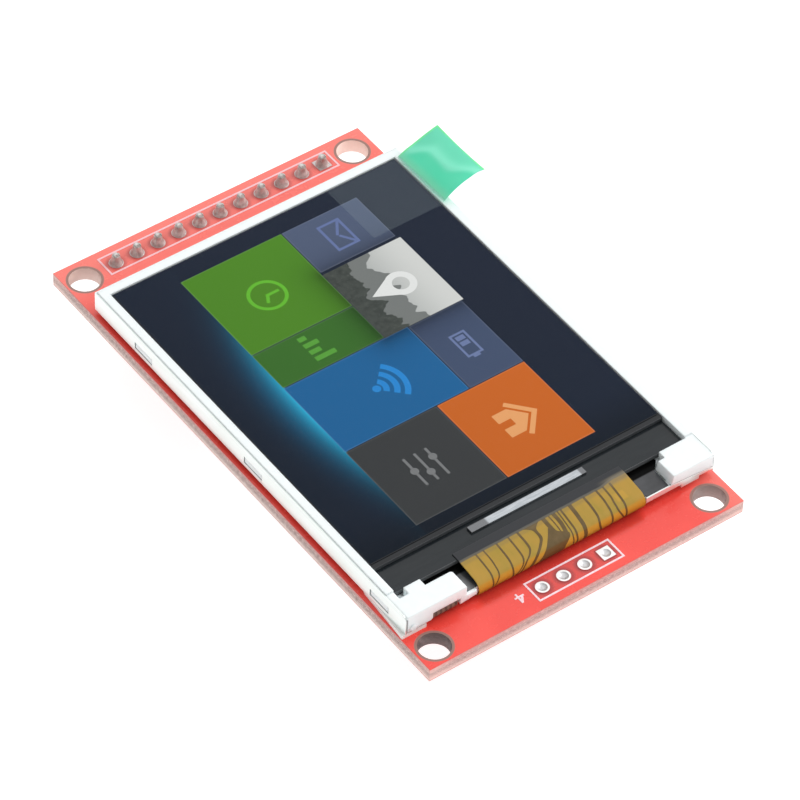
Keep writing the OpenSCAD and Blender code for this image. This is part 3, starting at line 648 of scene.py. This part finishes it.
m = Mat("bare_silicon")
x, y, z = m.xyz()
# painted reflection: the chip's ends are painted darker than its brightly reflecting middle
ends = m.math("MAXIMUM", m.step(x, -4.3, -4.6), m.step(x, 6.6, 6.8))
n = m.noise(2.5, 3.0, 0.6, (0.3, 2, 1))
c = m.mix(ends, m.ramp(n, [(0.3, (0.42, 0.45, 0.48)), (0.7, (0.56, 0.59, 0.62))]), (0.20, 0.205, 0.215))
p = m.principled(Base_Color=c, Metallic=0.9, Roughness=0.25, Normal=m.bump(n, 0.08, 0.00002))
paint("driver_chip", m.done(p))


# ------------------------------------------------------------------ screen picture

Z0 = POL_HI[2]
# generic tiles: x0, x1, y0, y1, colour
TILES = [
    ("green", -10.5, 1.66, 8.98, 21.2, (80, 138, 36)),
    ("leaf", -10.5, 1.66, 3.64, 8.86, (60, 112, 42)),
    ("slate", 1.78, 11.0, 14.5, 21.2, (83, 95, 121)),
    ("silver", 1.7, 11.3, 3.5, 14.1, (200, 202, 200)),
    ("blue", -10.5, 4.4, -6.66, 3.52, (32, 102, 157)),
    ("dusk", 4.52, 11.0, -6.66, 3.4, (70, 84, 112)),
    ("orange", 0.42, 11.0, -18.2, -6.78, (208, 105, 36)),
    ("coal", -10.5, 0.3, -18.2, -6.78, (62, 64, 65)),
]


def screen_material():
    m = Mat("screen_ground")
    x, y, z = m.xyz()
    nz = m.math("ABSOLUTE", m.normal_z())
    t = m.step(m.math("ADD", m.math("MULTIPLY", x, 0.02), m.math("MULTIPLY", y, 0.012)), -0.6, 0.6)
    c = m.ramp(t, [(0.0, srgb(26, 34, 48)), (0.5, srgb(32, 40, 56)), (1.0, srgb(36, 43, 60))])
    c = m.mix(m.step(y, -14.0, -20.0), c, m.mix(1.0, c, (0.62, 0.62, 0.58), "MULTIPLY"))
    # glow along the left side of the tiles
    dx = m.math("SUBTRACT", -10.5, x)
    far = m.math("MAXIMUM", dx, 0.0)
    dy = m.math("DIVIDE", m.math("SUBTRACT", y, 0.2), 9.0)
    down = m.math("EXPONENT", m.math("MULTIPLY", m.math("MULTIPLY", dy, dy), -1.0))
    inside = m.step(dx, -0.3, 0.0)
    wide = m.math("MULTIPLY", m.math("EXPONENT", m.math("MULTIPLY", m.math("MULTIPLY", far, far), -0.17)), m.math("MULTIPLY", down, inside))
    c = m.mix(m.math("MULTIPLY", wide, 0.66), c, srgb(22, 82, 132))
    tight = m.math("MULTIPLY", m.math("EXPONENT", m.math("MULTIPLY", far, -1.15)), m.math("MULTIPLY", down, inside))
    c = m.mix(m.math("MULTIPLY", tight, 0.98), c, srgb(52, 190, 232))
    side = m.step(nz, 0.97, 0.6)
    c = m.mix(side, c, (0.05, 0.052, 0.055))
    p = m.principled(Base_Color=(0.003, 0.004, 0.005), Roughness=0.22, Emission_Color=c, Emission_Strength=0.80,
                     Specular_IOR_Level=0.03)
    return m.done(p)


def tile_material(name, rgb, shade_box=None, light=1.0, border=None):
    """A lit field of one colour with a faint sheen and, where a shade box is given, a soft shadow round it."""
    m = Mat("tile_" + name)
    x, y, z = m.xyz()
    base = srgb(*rgb)
    t = m.step(m.math("ADD", m.math("MULTIPLY", x, 0.05), m.math("MULTIPLY", y, 0.03)), -1.2, 1.2)
    c = m.mix(t, tuple(v * 0.93 * light for v in base), tuple(v * 1.04 * light for v in base))
    if shade_box:
        x0, x1, y0, y1 = shade_box
        dx = m.math("MAXIMUM", m.math("SUBTRACT", x0, x), m.math("SUBTRACT", x, x1))
        dy = m.math("MAXIMUM", m.math("SUBTRACT", y0, y), m.math("SUBTRACT", y, y1))
        dx, dy = m.math("MAXIMUM", dx, 0.0), m.math("MAXIMUM", dy, 0.0)
        d = m.math("SQRT", m.math("ADD", m.math("MULTIPLY", dx, dx), m.math("MULTIPLY", dy, dy)))
        s = m.math("MULTIPLY", m.math("EXPONENT", m.math("MULTIPLY", d, -0.8)), 0.74)
        c = m.mix(s, c, tuple(v * 0.10 for v in base))
    if border:
        x0, x1, y0, y1 = border
        line = m.math("SUBTRACT", 1.0, m.box(x0 + 0.08, x1 - 0.08, y0 + 0.08, y1 - 0.08, 0.015))
        c = m.mix(m.math("MULTIPLY", line, 0.30), c, tuple(min(1.0, v * 1.5 + 0.16) for v in base))
    p = m.principled(Base_Color=(0.004, 0.004, 0.004), Roughness=0.3, Emission_Color=c, Emission_Strength=0.94,
                     Specular_IOR_Level=0.03)
    return m.done(p)


paint("front_polarizer", screen_material())
SHADE = (1.7, 11.3, 3.5, 14.1)
ZT = Z0 + 0.005
ZP = Z0 + 0.009
ZQ = Z0 + 0.013
for name, x0, x1, y0, y1, rgb in TILES:
    if name == "silver":
        continue
    bm = bmesh.new()
    prism(bm, rect(x0, x1, y0, y1), Z0 + 0.0005, ZT)
    new_object("tile_" + name, bm, tile_material(name, rgb, SHADE if name in ("green", "leaf", "slate", "blue", "dusk") else None, border=(x0, x1, y0, y1)))

# the light tile holds plain hills under a pale sky
m = Mat("tile_silver")
x, y, z = m.xyz()
sky = m.mix(m.step(x, 4.0, 11.0), srgb(176, 180, 178), srgb(216, 218, 215))
wob = m.noise(0.45, 2.0, 0.5, (0.0, 1.0, 0.0))
ridge1 = m.math("SUBTRACT", x, m.math("ADD", 4.2, m.math("MULTIPLY", wob, 5.2)))
far_hill = m.step(ridge1, 0.05, -0.05)
wob2 = m.noise(0.7, 2.0, 0.5, (0.0, 1.0, 3.0))
ridge2 = m.math("SUBTRACT", x, m.math("ADD", 2.0, m.math("MULTIPLY", wob2, 4.6)))
near_hill = m.step(ridge2, 0.05, -0.05)
c = m.mix(far_hill, sky, srgb(122, 126, 124))
c = m.mix(near_hill, c, m.mix(m.noise(1.6, 4.0, 0.7), srgb(36, 40, 40), srgb(92, 98, 92)))
p = m.principled(Base_Color=(0.004, 0.004, 0.004), Roughness=0.3, Emission_Color=c, Emission_Strength=0.95, Specular_IOR_Level=0.03)
silver = m.done(p)
bm = bmesh.new()
prism(bm, rect(1.7, 11.3, 3.5, 14.1), Z0 + 0.0005, ZT + 0.002)
new_object("tile_silver", bm, silver)


def pictogram(name, rgb, shapes, z0=ZT, z1=ZP):
    """Plain figures on a tile. Each shape is ("poly", points), ("ring", outer, inner); UI up is +X and UI right is -Y."""
    bm = bmesh.new()
    for s in shapes:
        if s[0] == "poly":
            prism(bm, s[1], z0, z1)
        else:
            ring(bm, s[1], s[2], z0, z1)
    return new_object("figure_" + name, bm, tile_material("figure_" + name, rgb))


def ui(cx, cy, pts, s=1.0):
    """Points given as (right, up) about a centre, in the picture's own turned frame."""
    return [(cx + v * s, cy - u * s) for u, v in pts]


def ui_rect(cx, cy, u0, u1, v0, v1):
    return ("poly", ui(cx, cy, [(u0, v0), (u1, v0), (u1, v1), (u0, v1)]))


def ui_bar(cx, cy, a, b, w):
    """A straight stroke from a to b, of width w, in the picture's frame."""
    a, b = Vector(a), Vector(b)
    d = (b - a).normalized()
    n = Vector((-d.y, d.x)) * w / 2
    return ("poly", ui(cx, cy, [tuple(a - n), tuple(b - n), tuple(b + n), tuple(a + n)]))


def ui_ring(cx, cy, u, v, r, w, n=48):
    return ("ring", ui(cx, cy, [(u + px, v + py) for px, py in circle(0, 0, r, n)]), ui(cx, cy, [(u + px, v + py) for px, py in circle(0, 0, r - w, n)]))


def ui_disc(cx, cy, u, v, r, n=36):
    return ("poly", ui(cx, cy, [(u + px, v + py) for px, py in circle(0, 0, r, n)]))


# clock
cx, cy = -4.4, 14.9
pictogram("clock", (104, 190, 52), [
    ui_ring(cx, cy, 0, 0, 2.1, 0.38), ui_bar(cx, cy, (0, -0.18), (0, 1.35), 0.34), ui_bar(cx, cy, (0, 0), (0.95, -0.55), 0.34)])
# bars
cx, cy = -4.4, 6.4
pictogram("bars", (92, 165, 62), [ui_rect(cx, cy, -1.9 + 1.0 * k, -1.3 + 1.0 * k, -1.2, -1.2 + h) for k, h in enumerate((0.9, 1.7, 1.3, 2.4))])
# envelope
cx, cy = 6.4, 17.9
o = [(-2.0, -1.35), (2.0, -1.35), (2.0, 1.35), (-2.0, 1.35)]
i_ = [(-1.7, -1.05), (1.7, -1.05), (1.7, 1.05), (-1.7, 1.05)]
pictogram("letter", (104, 120, 166), [
    ("ring", ui(cx, cy, o), ui(cx, cy, i_)), ui_bar(cx, cy, (-1.65, 1.0), (0.05, -0.15), 0.3), ui_bar(cx, cy, (1.65, 1.0), (0.18, 0.0), 0.3)])
# pin marker on the light tile
cx, cy = 6.6, 8.8
pictogram("marker", (232, 234, 232), [
    ui_ring(cx, cy, 0, 0.9, 1.65, 0.75), ("poly", ui(cx, cy, [(-1.25, -0.2), (0, -2.6), (1.25, -0.2), (0.62, -0.52), (0, -0.62), (-0.62, -0.52)]))], ZT + 0.002, ZP + 0.002)
# waves of a signal
cx, cy = -3.2, -1.6


def arc_band(cx, cy, r, w, a0, a1, n=24):
    o = [(r * math.sin(a0 + (a1 - a0) * k / n), r * math.cos(a0 + (a1 - a0) * k / n)) for k in range(n + 1)]
    i = [((r - w) * math.sin(a0 + (a1 - a0) * k / n), (r - w) * math.cos(a0 + (a1 - a0) * k / n)) for k in range(n, -1, -1)]
    return ("poly", ui(cx, cy, o + i))


pictogram("signal", (44, 140, 216), [arc_band(cx, cy, r, 0.62, -0.8, 0.8) for r in (3.5, 2.45, 1.4)] + [ui_disc(cx, cy, 0, 0.15, 0.45)])
# battery
cx, cy = 7.8, -1.7
pictogram("battery", (112, 128, 170), [
    ("ring", ui(cx, cy, [(-1.8, -0.95), (1.6, -0.95), (1.6, 0.95), (-1.8, 0.95)]), ui(cx, cy, [(-1.55, -0.7), (1.35, -0.7), (1.35, 0.7), (-1.55, 0.7)])),
    ui_rect(cx, cy, 1.6, 1.9, -0.4, 0.4), ui_rect(cx, cy, -1.35, -0.75, -0.5, 0.5), ui_rect(cx, cy, -0.55, 0.05, -0.5, 0.5)])
# house
cx, cy = 5.9, -12.6
pictogram("house", (240, 170, 110), [
    ("poly", ui(cx, cy, [(-2.5, 0.1), (0, 2.3), (2.5, 0.1), (2.15, -0.3), (0, 1.6), (-2.15, -0.3)])),
    ("poly", ui(cx, cy, [(-1.7, -2.0), (-0.45, -2.0), (-0.45, -0.6), (0.45, -0.6), (0.45, -2.0), (1.7, -2.0), (1.7, -0.25), (0, 1.25), (-1.7, -0.25)]))])
# sliders
cx, cy = -5.2, -12.6
sl = []
for v, k in ((1.3, -0.7), (0.0, 0.8), (-1.3, -0.1)):
    sl += [ui_rect(cx, cy, -2.0, k - 0.45, v - 0.14, v + 0.14), ui_rect(cx, cy, k + 0.45, 2.0, v - 0.14, v + 0.14), ui_disc(cx, cy, k, v, 0.44)]
pictogram("sliders", (128, 130, 131), sl)


# ------------------------------------------------------------------ clear film on the screen

def film_material():
    m = Mat("clear_film")
    n = m.noise(0.12, 2.0, 0.4)
    fine = m.noise(0.5, 2.0, 0.5)
    p = m.principled(Base_Color=(0.05, 0.06, 0.08), Roughness=m.ramp(fine, [(0.3, 0.10), (0.7, 0.16)]), Alpha=0.02,
                     IOR=1.45, Specular_IOR_Level=0.4, Normal=m.bump(n, 0.03, 0.00005))
    return m.done(p)


lo, hi = mmbox("protective_film")
bm = bmesh.new()
prism(bm, rect(lo[0], hi[0], lo[1], hi[1]), ZQ + 0.004, hi[2])
film = new_object("film_sheet", bm, film_material())
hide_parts("protective_film")


# ------------------------------------------------------------------ pull tab

TLO, THI = mmbox("pull_tab")
TAB_X0 = 17.4


def tab_material():
    m = Mat("green_tab")
    x, y, z = m.xyz()
    a_ = m.math("SUBTRACT", x, TAB_X0)
    b_ = m.math("SUBTRACT", THI[1], y)
    faint = m.noise(0.35, 2.0, 0.4, (0.6, 1.0, 0.3))
    # painted light: a lighter band is painted along a soft fold that runs from the back root towards the outer corner,
    # with a different green painted on each side of it
    c_ = m.math("ADD", 1.35, m.math("MULTIPLY", m.step(b_, 0.0, 2.4), 1.55))
    c_ = m.math("ADD", c_, m.math("MULTIPLY", m.step(b_, 5.4, 8.0), 1.6))
    c_ = m.math("ADD", c_, m.math("MULTIPLY", m.math("SUBTRACT", faint, 0.5), 0.8))
    d = m.math("SUBTRACT", a_, c_)
    fold_highlight = m.math("EXPONENT", m.math("MULTIPLY", m.math("MULTIPLY", d, d), m.lerp(m.step(d, -0.1, 0.1), -6.0, -1.4)))
    fold_side_tone = m.step(d, -0.25, 0.25)
    green = m.mix(fold_side_tone, (0.140, 0.86, 0.60), (0.205, 0.82, 0.60))
    green = m.mix(m.math("MULTIPLY", fold_highlight, 0.85), green, (0.34, 0.93, 0.74))
    green = m.mix(m.math("MULTIPLY", m.math("SUBTRACT", faint, 0.35), 0.4), green, (0.28, 0.88, 0.68))
    # the cut edges catch the light
    rim = m.math("MAXIMUM", m.step(b_, 0.30, 0.12), m.step(x, THI[0] - 0.34, THI[0] - 0.14))
    green = m.mix(m.math("MULTIPLY", rim, 0.62), green, (0.30, 0.96, 0.34))
    start = m.step(x, TAB_X0 + 0.25, TAB_X0 + 0.65)
    near = m.step(x, TAB_X0 + 1.5, TAB_X0 + 0.5)
    green = m.mix(m.math("MULTIPLY", near, 0.75), green, (0.36, 0.88, 0.64))
    c = m.mix(start, (0.46, 0.56, 0.60), green)
    alpha = m.lerp(start, 0.036, 0.88)
    rough = m.lerp(start, 0.42, 0.28)
    p = m.principled(Base_Color=c, Roughness=rough, Alpha=alpha, IOR=1.45, Specular_IOR_Level=0.3, Normal=m.bump(faint, 0.15, 0.00008))
    tr = m.node("ShaderNodeBsdfTranslucent")
    m.put(tr.inputs["Color"], green)
    mx = m.node("ShaderNodeMixShader")
    m.put(mx.inputs[0], m.math("MULTIPLY", start, 0.30))
    m.link(p.outputs[0], mx.inputs[1])
    m.link(tr.outputs[0], mx.inputs[2])
    return m.done(mx)


bm = bmesh.new()
nu, nv = 52, 20
grid = []
for i in range(nu + 1):
    u = i / nu
    row = []
    for j in range(nv + 1):
        v = j / nv
        x = 9.0 + (THI[0] - 0.02 - 9.0) * u
        y = TLO[1] + (THI[1] - TLO[1]) * v
        z = Z0 + 0.06 + 0.012
        if x > TAB_X0:
            w = (x - TAB_X0) / (THI[0] - 0.02 - TAB_X0)
            z += (2.04 - 0.04 * v) * (1 - (1 - w) ** (1.95 - 0.70 * v))
            y += 0.12 * (1 - v) ** 1.5 * math.sin(math.pi * w ** 0.85)
            # the soft fold
            b_ = THI[1] - y
            c_ = 1.35 + 1.55 * min(max(b_ / 2.4, 0), 1) + 1.6 * min(max((b_ - 5.4) / 2.6, 0), 1)
            z += 0.10 * math.exp(-((x - TAB_X0 - c_) / 0.6) ** 2)
            x -= 0.12 * w * math.sin(v * math.pi)
        row.append((x, y, z))
    grid.append(row)
top = [[bm.verts.new((x * MM, y * MM, (z + 0.05) * MM)) for x, y, z in r] for r in grid]
bot = [[bm.verts.new((x * MM, y * MM, z * MM)) for x, y, z in r] for r in grid]
for i in range(nu):
    for j in range(nv):
        bm.faces.new((top[i][j], top[i + 1][j], top[i + 1][j + 1], top[i][j + 1]))
        bm.faces.new((bot[i][j + 1], bot[i + 1][j + 1], bot[i + 1][j], bot[i][j]))
for i in range(nu):
    bm.faces.new((bot[i][0], bot[i + 1][0], top[i + 1][0], top[i][0]))
    bm.faces.new((top[i][nv], top[i + 1][nv], bot[i + 1][nv], bot[i][nv]))
for j in range(nv):
    bm.faces.new((top[0][j], top[0][j + 1], bot[0][j + 1], bot[0][j]))
    bm.faces.new((bot[nu][j], bot[nu][j + 1], top[nu][j + 1], top[nu][j]))
tab = new_object("tab_sheet", bm, tab_material(), smooth=True)
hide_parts("pull_tab")


# ------------------------------------------------------------------ main flex

FLO, FHI = mmbox("main_flex")
FT = 0.12
BEND_C = (-26.1, TOP + 0.04 + FT / 2 + 0.95)
BEND_R = 0.95
TFT_TOP = mmbox("tft_glass")[1][2]
P0 = (-23.6, TFT_TOP + FT / 2)


def flex_line(extra=0.0):
    """Points (y, z) along the middle of the flex, from the ledge round the bend to the board, moved outwards by extra."""
    vx, vz = P0[0] - BEND_C[0], P0[1] - BEND_C[1]
    a = math.atan2(vz, vx) + math.acos(BEND_R / math.hypot(vx, vz))
    pts = []
    for k in range(8):
        pts.append((-22.7 + (P0[0] + 22.7) * k / 8, P0[1]))
    ta = (BEND_C[0] + BEND_R * math.cos(a), BEND_C[1] + BEND_R * math.sin(a))
    for k in range(26):
        t = k / 26
        pts.append((P0[0] + (ta[0] - P0[0]) * t, P0[1] + (ta[1] - P0[1]) * t))
    for k in range(49):
        b = a + (1.5 * math.pi - a) * k / 48
        pts.append((BEND_C[0] + BEND_R * math.cos(b), BEND_C[1] + BEND_R * math.sin(b)))
    for k in range(1, 9):
        pts.append((BEND_C[0] + (-12 - BEND_C[0]) * k / 8, BEND_C[1] - BEND_R))
    if extra == 0.0:
        return pts
    out = []
    for k, (y, z) in enumerate(pts):
        a_, b_ = pts[max(k - 1, 0)], pts[min(k + 1, len(pts) - 1)]
        ty, tz = b_[0] - a_[0], b_[1] - a_[1]
        l = math.hypot(ty, tz)
        out.append((y + extra * tz / l * 1.0, z - extra * ty / l))
    return out


def along_length(pts):
    s, out = 0.0, [0.0]
    for a, b in zip(pts, pts[1:]):
        s += math.hypot(b[0] - a[0], b[1] - a[1])
        out.append(s)
    return out


def flex_colour(m, ground, bend_highlight, ledge):
    """Amber film: dark where it lies on the glass, amber on the slope, with a painted warm highlight round the bend,
    painted shade at the bottom of the bend where the film turns under, and painted pale highlight bands near the
    glass's edge.
    """
    x, y, z = m.xyz()
    # painted highlight: the colour round the bend is painted warmer and brighter
    c = m.mix(m.step(z, 3.40, 3.14), ground, bend_highlight)
    # painted shade: the lowest part of the bend is painted darker
    c = m.mix(m.step(z, 2.9, 2.3), c, tuple(v * 0.75 for v in bend_highlight) if isinstance(bend_highlight, tuple) else bend_highlight)
    wave = m.math("ADD", m.math("MULTIPLY", m.math("SUBTRACT", m.noise(0.5, 2.0, 0.5, (1, 0, 0)), 0.5), 0.12), 0.10)
    lift = m.math("MULTIPLY", m.step(x, 7.0, 9.0), 0.26)
    yl = m.math("SUBTRACT", m.math("ADD", y, wave), lift)
    on_glass = m.step(yl, -24.02, -23.78)
    c = m.mix(on_glass, c, ledge)
    # painted highlight: a pale band is painted across the flex near the glass's front edge
    haze = m.math("MULTIPLY", m.step(yl, -24.02, -23.84), m.step(yl, -23.62, -23.74))
    c = m.mix(m.math("MULTIPLY", haze, 0.75), c, (0.145, 0.135, 0.110))
    # painted highlight: a pale patch is painted on the right of the flex near the glass
    pale = m.math("MULTIPLY", m.step(x, 6.8, 9.0), m.math("MULTIPLY", m.step(y, -24.6, -23.9), m.step(y, -23.2, -23.5)))
    c = m.mix(m.math("MULTIPLY", pale, 0.55), c, (0.235, 0.200, 0.140))
    brown = m.math("MULTIPLY", m.step(yl, -24.55, -24.2), m.step(yl, -23.9, -24.1))
    c = m.mix(m.math("MULTIPLY", brown, 0.30), c, (0.20, 0.155, 0.085))
    return c


def flex_material():
    m = Mat("amber_flex")
    x, y, z = m.xyz()
    n = m.noise(0.55, 3.0, 0.55, (1.4, 0.5, 0.5))
    c = m.ramp(n, [(0.28, (0.345, 0.248, 0.040)), (0.5, (0.41, 0.262, 0.048)), (0.75, (0.46, 0.272, 0.046))])
    warm = m.math("MAXIMUM", m.step(x, -6.5, -9.5), m.step(x, 7.5, 9.8))
    c = m.mix(m.math("MULTIPLY", warm, 0.40), c, (0.50, 0.285, 0.055))
    squares = m.math("MULTIPLY", m.box(7.7, 8.9, -26.2, -25.2, 0.12), 0.30)
    c = m.mix(squares, c, (0.66, 0.36, 0.05))
    c = flex_colour(m, c, (0.54, 0.250, 0.022), (0.040, 0.042, 0.046))
    p = m.principled(Base_Color=c, Roughness=m.ramp(n, [(0.3, 0.36), (0.7, 0.44)]), IOR=1.5, Specular_IOR_Level=0.16,
                     Normal=m.bump(n, 0.10, 0.00003))
    return m.done(p)


def sheet_along(bm, x0f, x1f, line_in, line_out, nx=1):
    """A closed strip along the flex: x0f and x1f give its sides at each station."""
    n = len(line_in)
    A = [[bm.verts.new((x * MM, line_out[k][0] * MM, line_out[k][1] * MM)) for x in (x0f(k), x1f(k))] for k in range(n)]
    B = [[bm.verts.new((x * MM, line_in[k][0] * MM, line_in[k][1] * MM)) for x in (x0f(k), x1f(k))] for k in range(n)]
    for k in range(n - 1):
        bm.faces.new((A[k][0], A[k][1], A[k + 1][1], A[k + 1][0]))
        bm.faces.new((B[k][1], B[k][0], B[k + 1][0], B[k + 1][1]))
        bm.faces.new((A[k][0], A[k + 1][0], B[k + 1][0], B[k][0]))
        bm.faces.new((A[k + 1][1], A[k][1], B[k][1], B[k + 1][1]))
    bm.faces.new((A[0][1], A[0][0], B[0][0], B[0][1]))
    bm.faces.new((A[n - 1][0], A[n - 1][1], B[n - 1][1], B[n - 1][0]))


mid = flex_line()
outer = flex_line(-FT / 2)
inner = flex_line(FT / 2)
if outer[30][0] > inner[30][0]:
    outer, inner = inner, outer
FX0, FX1 = 0.375 - 9.975, 0.375 + 9.975
bm = bmesh.new()
sheet_along(bm, lambda k: FX0, lambda k: FX1, inner, outer)
zr0, zr1 = TOP + 0.04, TOP + 0.04 + FT
prism(bm, rect(-15.2, FX0 + 0.5, -25.4, -14), zr0 + 0.002, zr1 - 0.002)
prism(bm, rect(-8.2, 8.95, -12.5, -7.2), zr0 + 0.002, zr1 - 0.002)
flex_mat = flex_material()
flex = new_object("flex_sheet", bm, flex_mat, smooth=True)
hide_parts("main_flex")

# conductors printed along the flex
lengths = along_length(mid)
total = lengths[-1]
trace_in = flex_line((FT / 2 - 0.004) * (1 if flex_line(0.1)[30][0] < mid[30][0] else -1))
trace_top = flex_line((FT / 2 + 0.014) * (1 if flex_line(0.1)[30][0] < mid[30][0] else -1))
trace_out = flex_line((FT / 2 + 0.010) * (1 if flex_line(0.1)[30][0] < mid[30][0] else -1))


def field(bm, knots, lift=0):
    """A conductor bounded at each knot (distance along the flex, low x, high x)."""
    s0, s1 = knots[0][0], knots[-1][0]
    ks = [k for k in range(len(mid)) if s0 <= lengths[k] <= s1]
    if len(ks) < 2:
        return

    def slope(i, c):
        a, b = knots[max(i - 1, 0)], knots[min(i + 1, len(knots) - 1)]
        return (b[c] - a[c]) / (b[0] - a[0])

    def at(s):
        for i in range(len(knots) - 1):
            a, b = knots[i], knots[i + 1]
            if a[0] <= s <= b[0]:
                h = b[0] - a[0]
                t = (s - a[0]) / h
                w = (2 * t ** 3 - 3 * t * t + 1, (t ** 3 - 2 * t * t + t) * h, 3 * t * t - 2 * t ** 3, (t ** 3 - t * t) * h)
                return [w[0] * a[c] + w[1] * slope(i, c) + w[2] * b[c] + w[3] * slope(i + 1, c) for c in (1, 2)]
        return knots[-1][1:]
    sheet_along(bm, lambda i: at(lengths[ks[i]])[0], lambda i: at(lengths[ks[i]])[1],
                [trace_in[k] for k in ks], [(trace_top if lift else trace_out)[k] for k in ks])


def trace(bm, w, knots):
    """A conductor of width w whose middle line runs through knots (distance along the flex, x)."""
    field(bm, [(s_, x_ - w / 2, x_ + w / 2) for s_, x_ in knots])


m = Mat("flex_copper")
n = m.noise(1.5, 3.0)
c = m.ramp(n, [(0.3, (0.120, 0.082, 0.034)), (0.7, (0.155, 0.102, 0.044))])
c = flex_colour(m, c, (0.140, 0.062, 0.014), (0.040, 0.042, 0.046))
p = m.principled(Base_Color=c, Roughness=0.40, IOR=1.5, Specular_IOR_Level=0.16, Normal=m.bump(n, 0.1, 0.00002))
copper = m.done(p)
bm = bmesh.new()
END = total - 4.0
trace(bm, 0.18, [(1.2, -7.78), (3.0, -7.80), (5.0, -7.95), (5.6, -7.96), (END, -7.96)])
trace(bm, 0.15, [(1.2, -6.90), (2.5, -6.88), (3.5, -7.0), (4.3, -7.15), (4.75, -7.45), (5.2, -7.75)])
trace(bm, 0.20, [(1.2, -5.35), (3.0, -5.38), (4.0, -5.5), (5.0, -5.58), (5.6, -5.58), (END, -5.58)])
trace(bm, 0.19, [(1.2, -3.95), (3.0, -4.00), (4.0, -4.12), (4.5, -4.4), (5.2, -5.1), (5.7, -5.2), (END, -5.2)])
trace(bm, 0.24, [(1.2, -2.85), (3.3, -2.90), (3.9, -3.3), (4.4, -3.95), (5.2, -4.6), (5.7, -4.7), (END, -4.7)])
field(bm, [(1.3, -2.2, -0.35), (1.5, -1.85, -0.65), (1.8, -1.52, -0.98), (2.1, -1.40, -1.08), (3.0, -1.46, -1.12), (3.6, -1.98, -1.60), (4.3, -2.80, -2.40), (5.0, -3.50, -3.05), (5.6, -3.6, -3.15), (END, -3.6, -3.15)], 1)
field(bm, [(2.35, 0.0, 0.30), (2.6, -0.16, 0.34), (3.2, -0.62, 0.62), (3.75, -1.10, 1.42), (4.1, -1.42, 1.40), (4.5, -1.85, 0.98), (4.9, -2.30, 0.62), (5.3, -2.6, 0.55), (5.8, -2.7, 0.55), (END, -2.7, 0.55)], 1)
trace(bm, 0.44, [(1.2, 0.22), (2.4, 0.24), (3.5, 0.32)])
trace(bm, 0.13, [(1.3, 0.86), (2.6, 0.88), (3.75, 0.78)])
trace(bm, 0.42, [(1.2, 1.42), (2.6, 1.42), (3.8, 1.18)])
trace(bm, 0.14, [(1.2, 1.92), (2.2, 1.86), (4.0, 1.70), (5.0, 1.62), (5.6, 1.62), (END, 1.62)])
trace(bm, 0.20, [(1.2, 2.32), (2.6, 2.24), (4.0, 2.14), (5.0, 2.08), (5.6, 2.08), (END, 2.08)])
trace(bm, 0.42, [(1.2, 3.38), (2.4, 3.34), (3.6, 3.22), (5.0, 3.08), (5.6, 3.08), (END, 3.08)])
trace(bm, 0.24, [(1.2, 5.10), (2.4, 5.10), (3.6, 4.98), (4.6, 4.82), (5.3, 5.0), (5.8, 5.0), (END, 5.0)])
trace(bm, 0.22, [(1.2, 6.62), (2.6, 6.60), (3.6, 6.46), (5.0, 6.32), (5.6, 6.32), (END, 6.32)])
trace(bm, 0.20, [(1.2, 7.45), (2.6, 7.42), (3.5, 7.24), (4.2, 7.22), (4.9, 7.55), (5.4, 7.8)])
trace(bm, 0.22, [(1.2, 8.30), (3.0, 8.20), (4.0, 8.10), (5.0, 8.02), (5.6, 8.02), (END, 8.02)])
new_object("flex_conductors", bm, copper, smooth=True)

# the backlight tail: dark film with pale conductors along it
m = Mat("led_tail")
x, y, z = m.xyz()
n = m.noise(2.0, 3.0, 0.6, (1, 0.4, 1))
stripe = m.math("PINGPONG", m.math("DIVIDE", m.math("ADD", x, m.math("MULTIPLY", n, 0.06)), 0.29), 1.0)
c = m.mix(m.step(stripe, 0.38, 0.62), m.ramp(n, [(0.3, (0.085, 0.060, 0.045)), (0.7, (0.125, 0.085, 0.065))]), (0.23, 0.155, 0.115))
p = m.principled(Base_Color=c, Roughness=0.38, IOR=1.5, Specular_IOR_Level=0.3, Normal=m.bump(stripe, 0.2, 0.00002))
paint("led_flex", m.done(p))


# ------------------------------------------------------------------ soft edges on the CAD solids

clean("plastic_frame", 0.10, 2)
clean("metal_tray", 0.035, 1)
clean("tft_glass", 0.05, 1)
clean("color_filter_glass", 0.05, 1)
clean("front_polarizer", 0.03, 1)
clean("driver_chip", 0.02, 1)
clean("circuit_board", 0.03, 1)
clean("header_housing", 0.08, 1)
clean("regulator", 0.05, 1)
clean("transistor", 0.05, 1)
clean("capacitors", 0.06, 2)
clean("resistors", 0.04, 1)
clean("socket_shell", 0.04, 1)
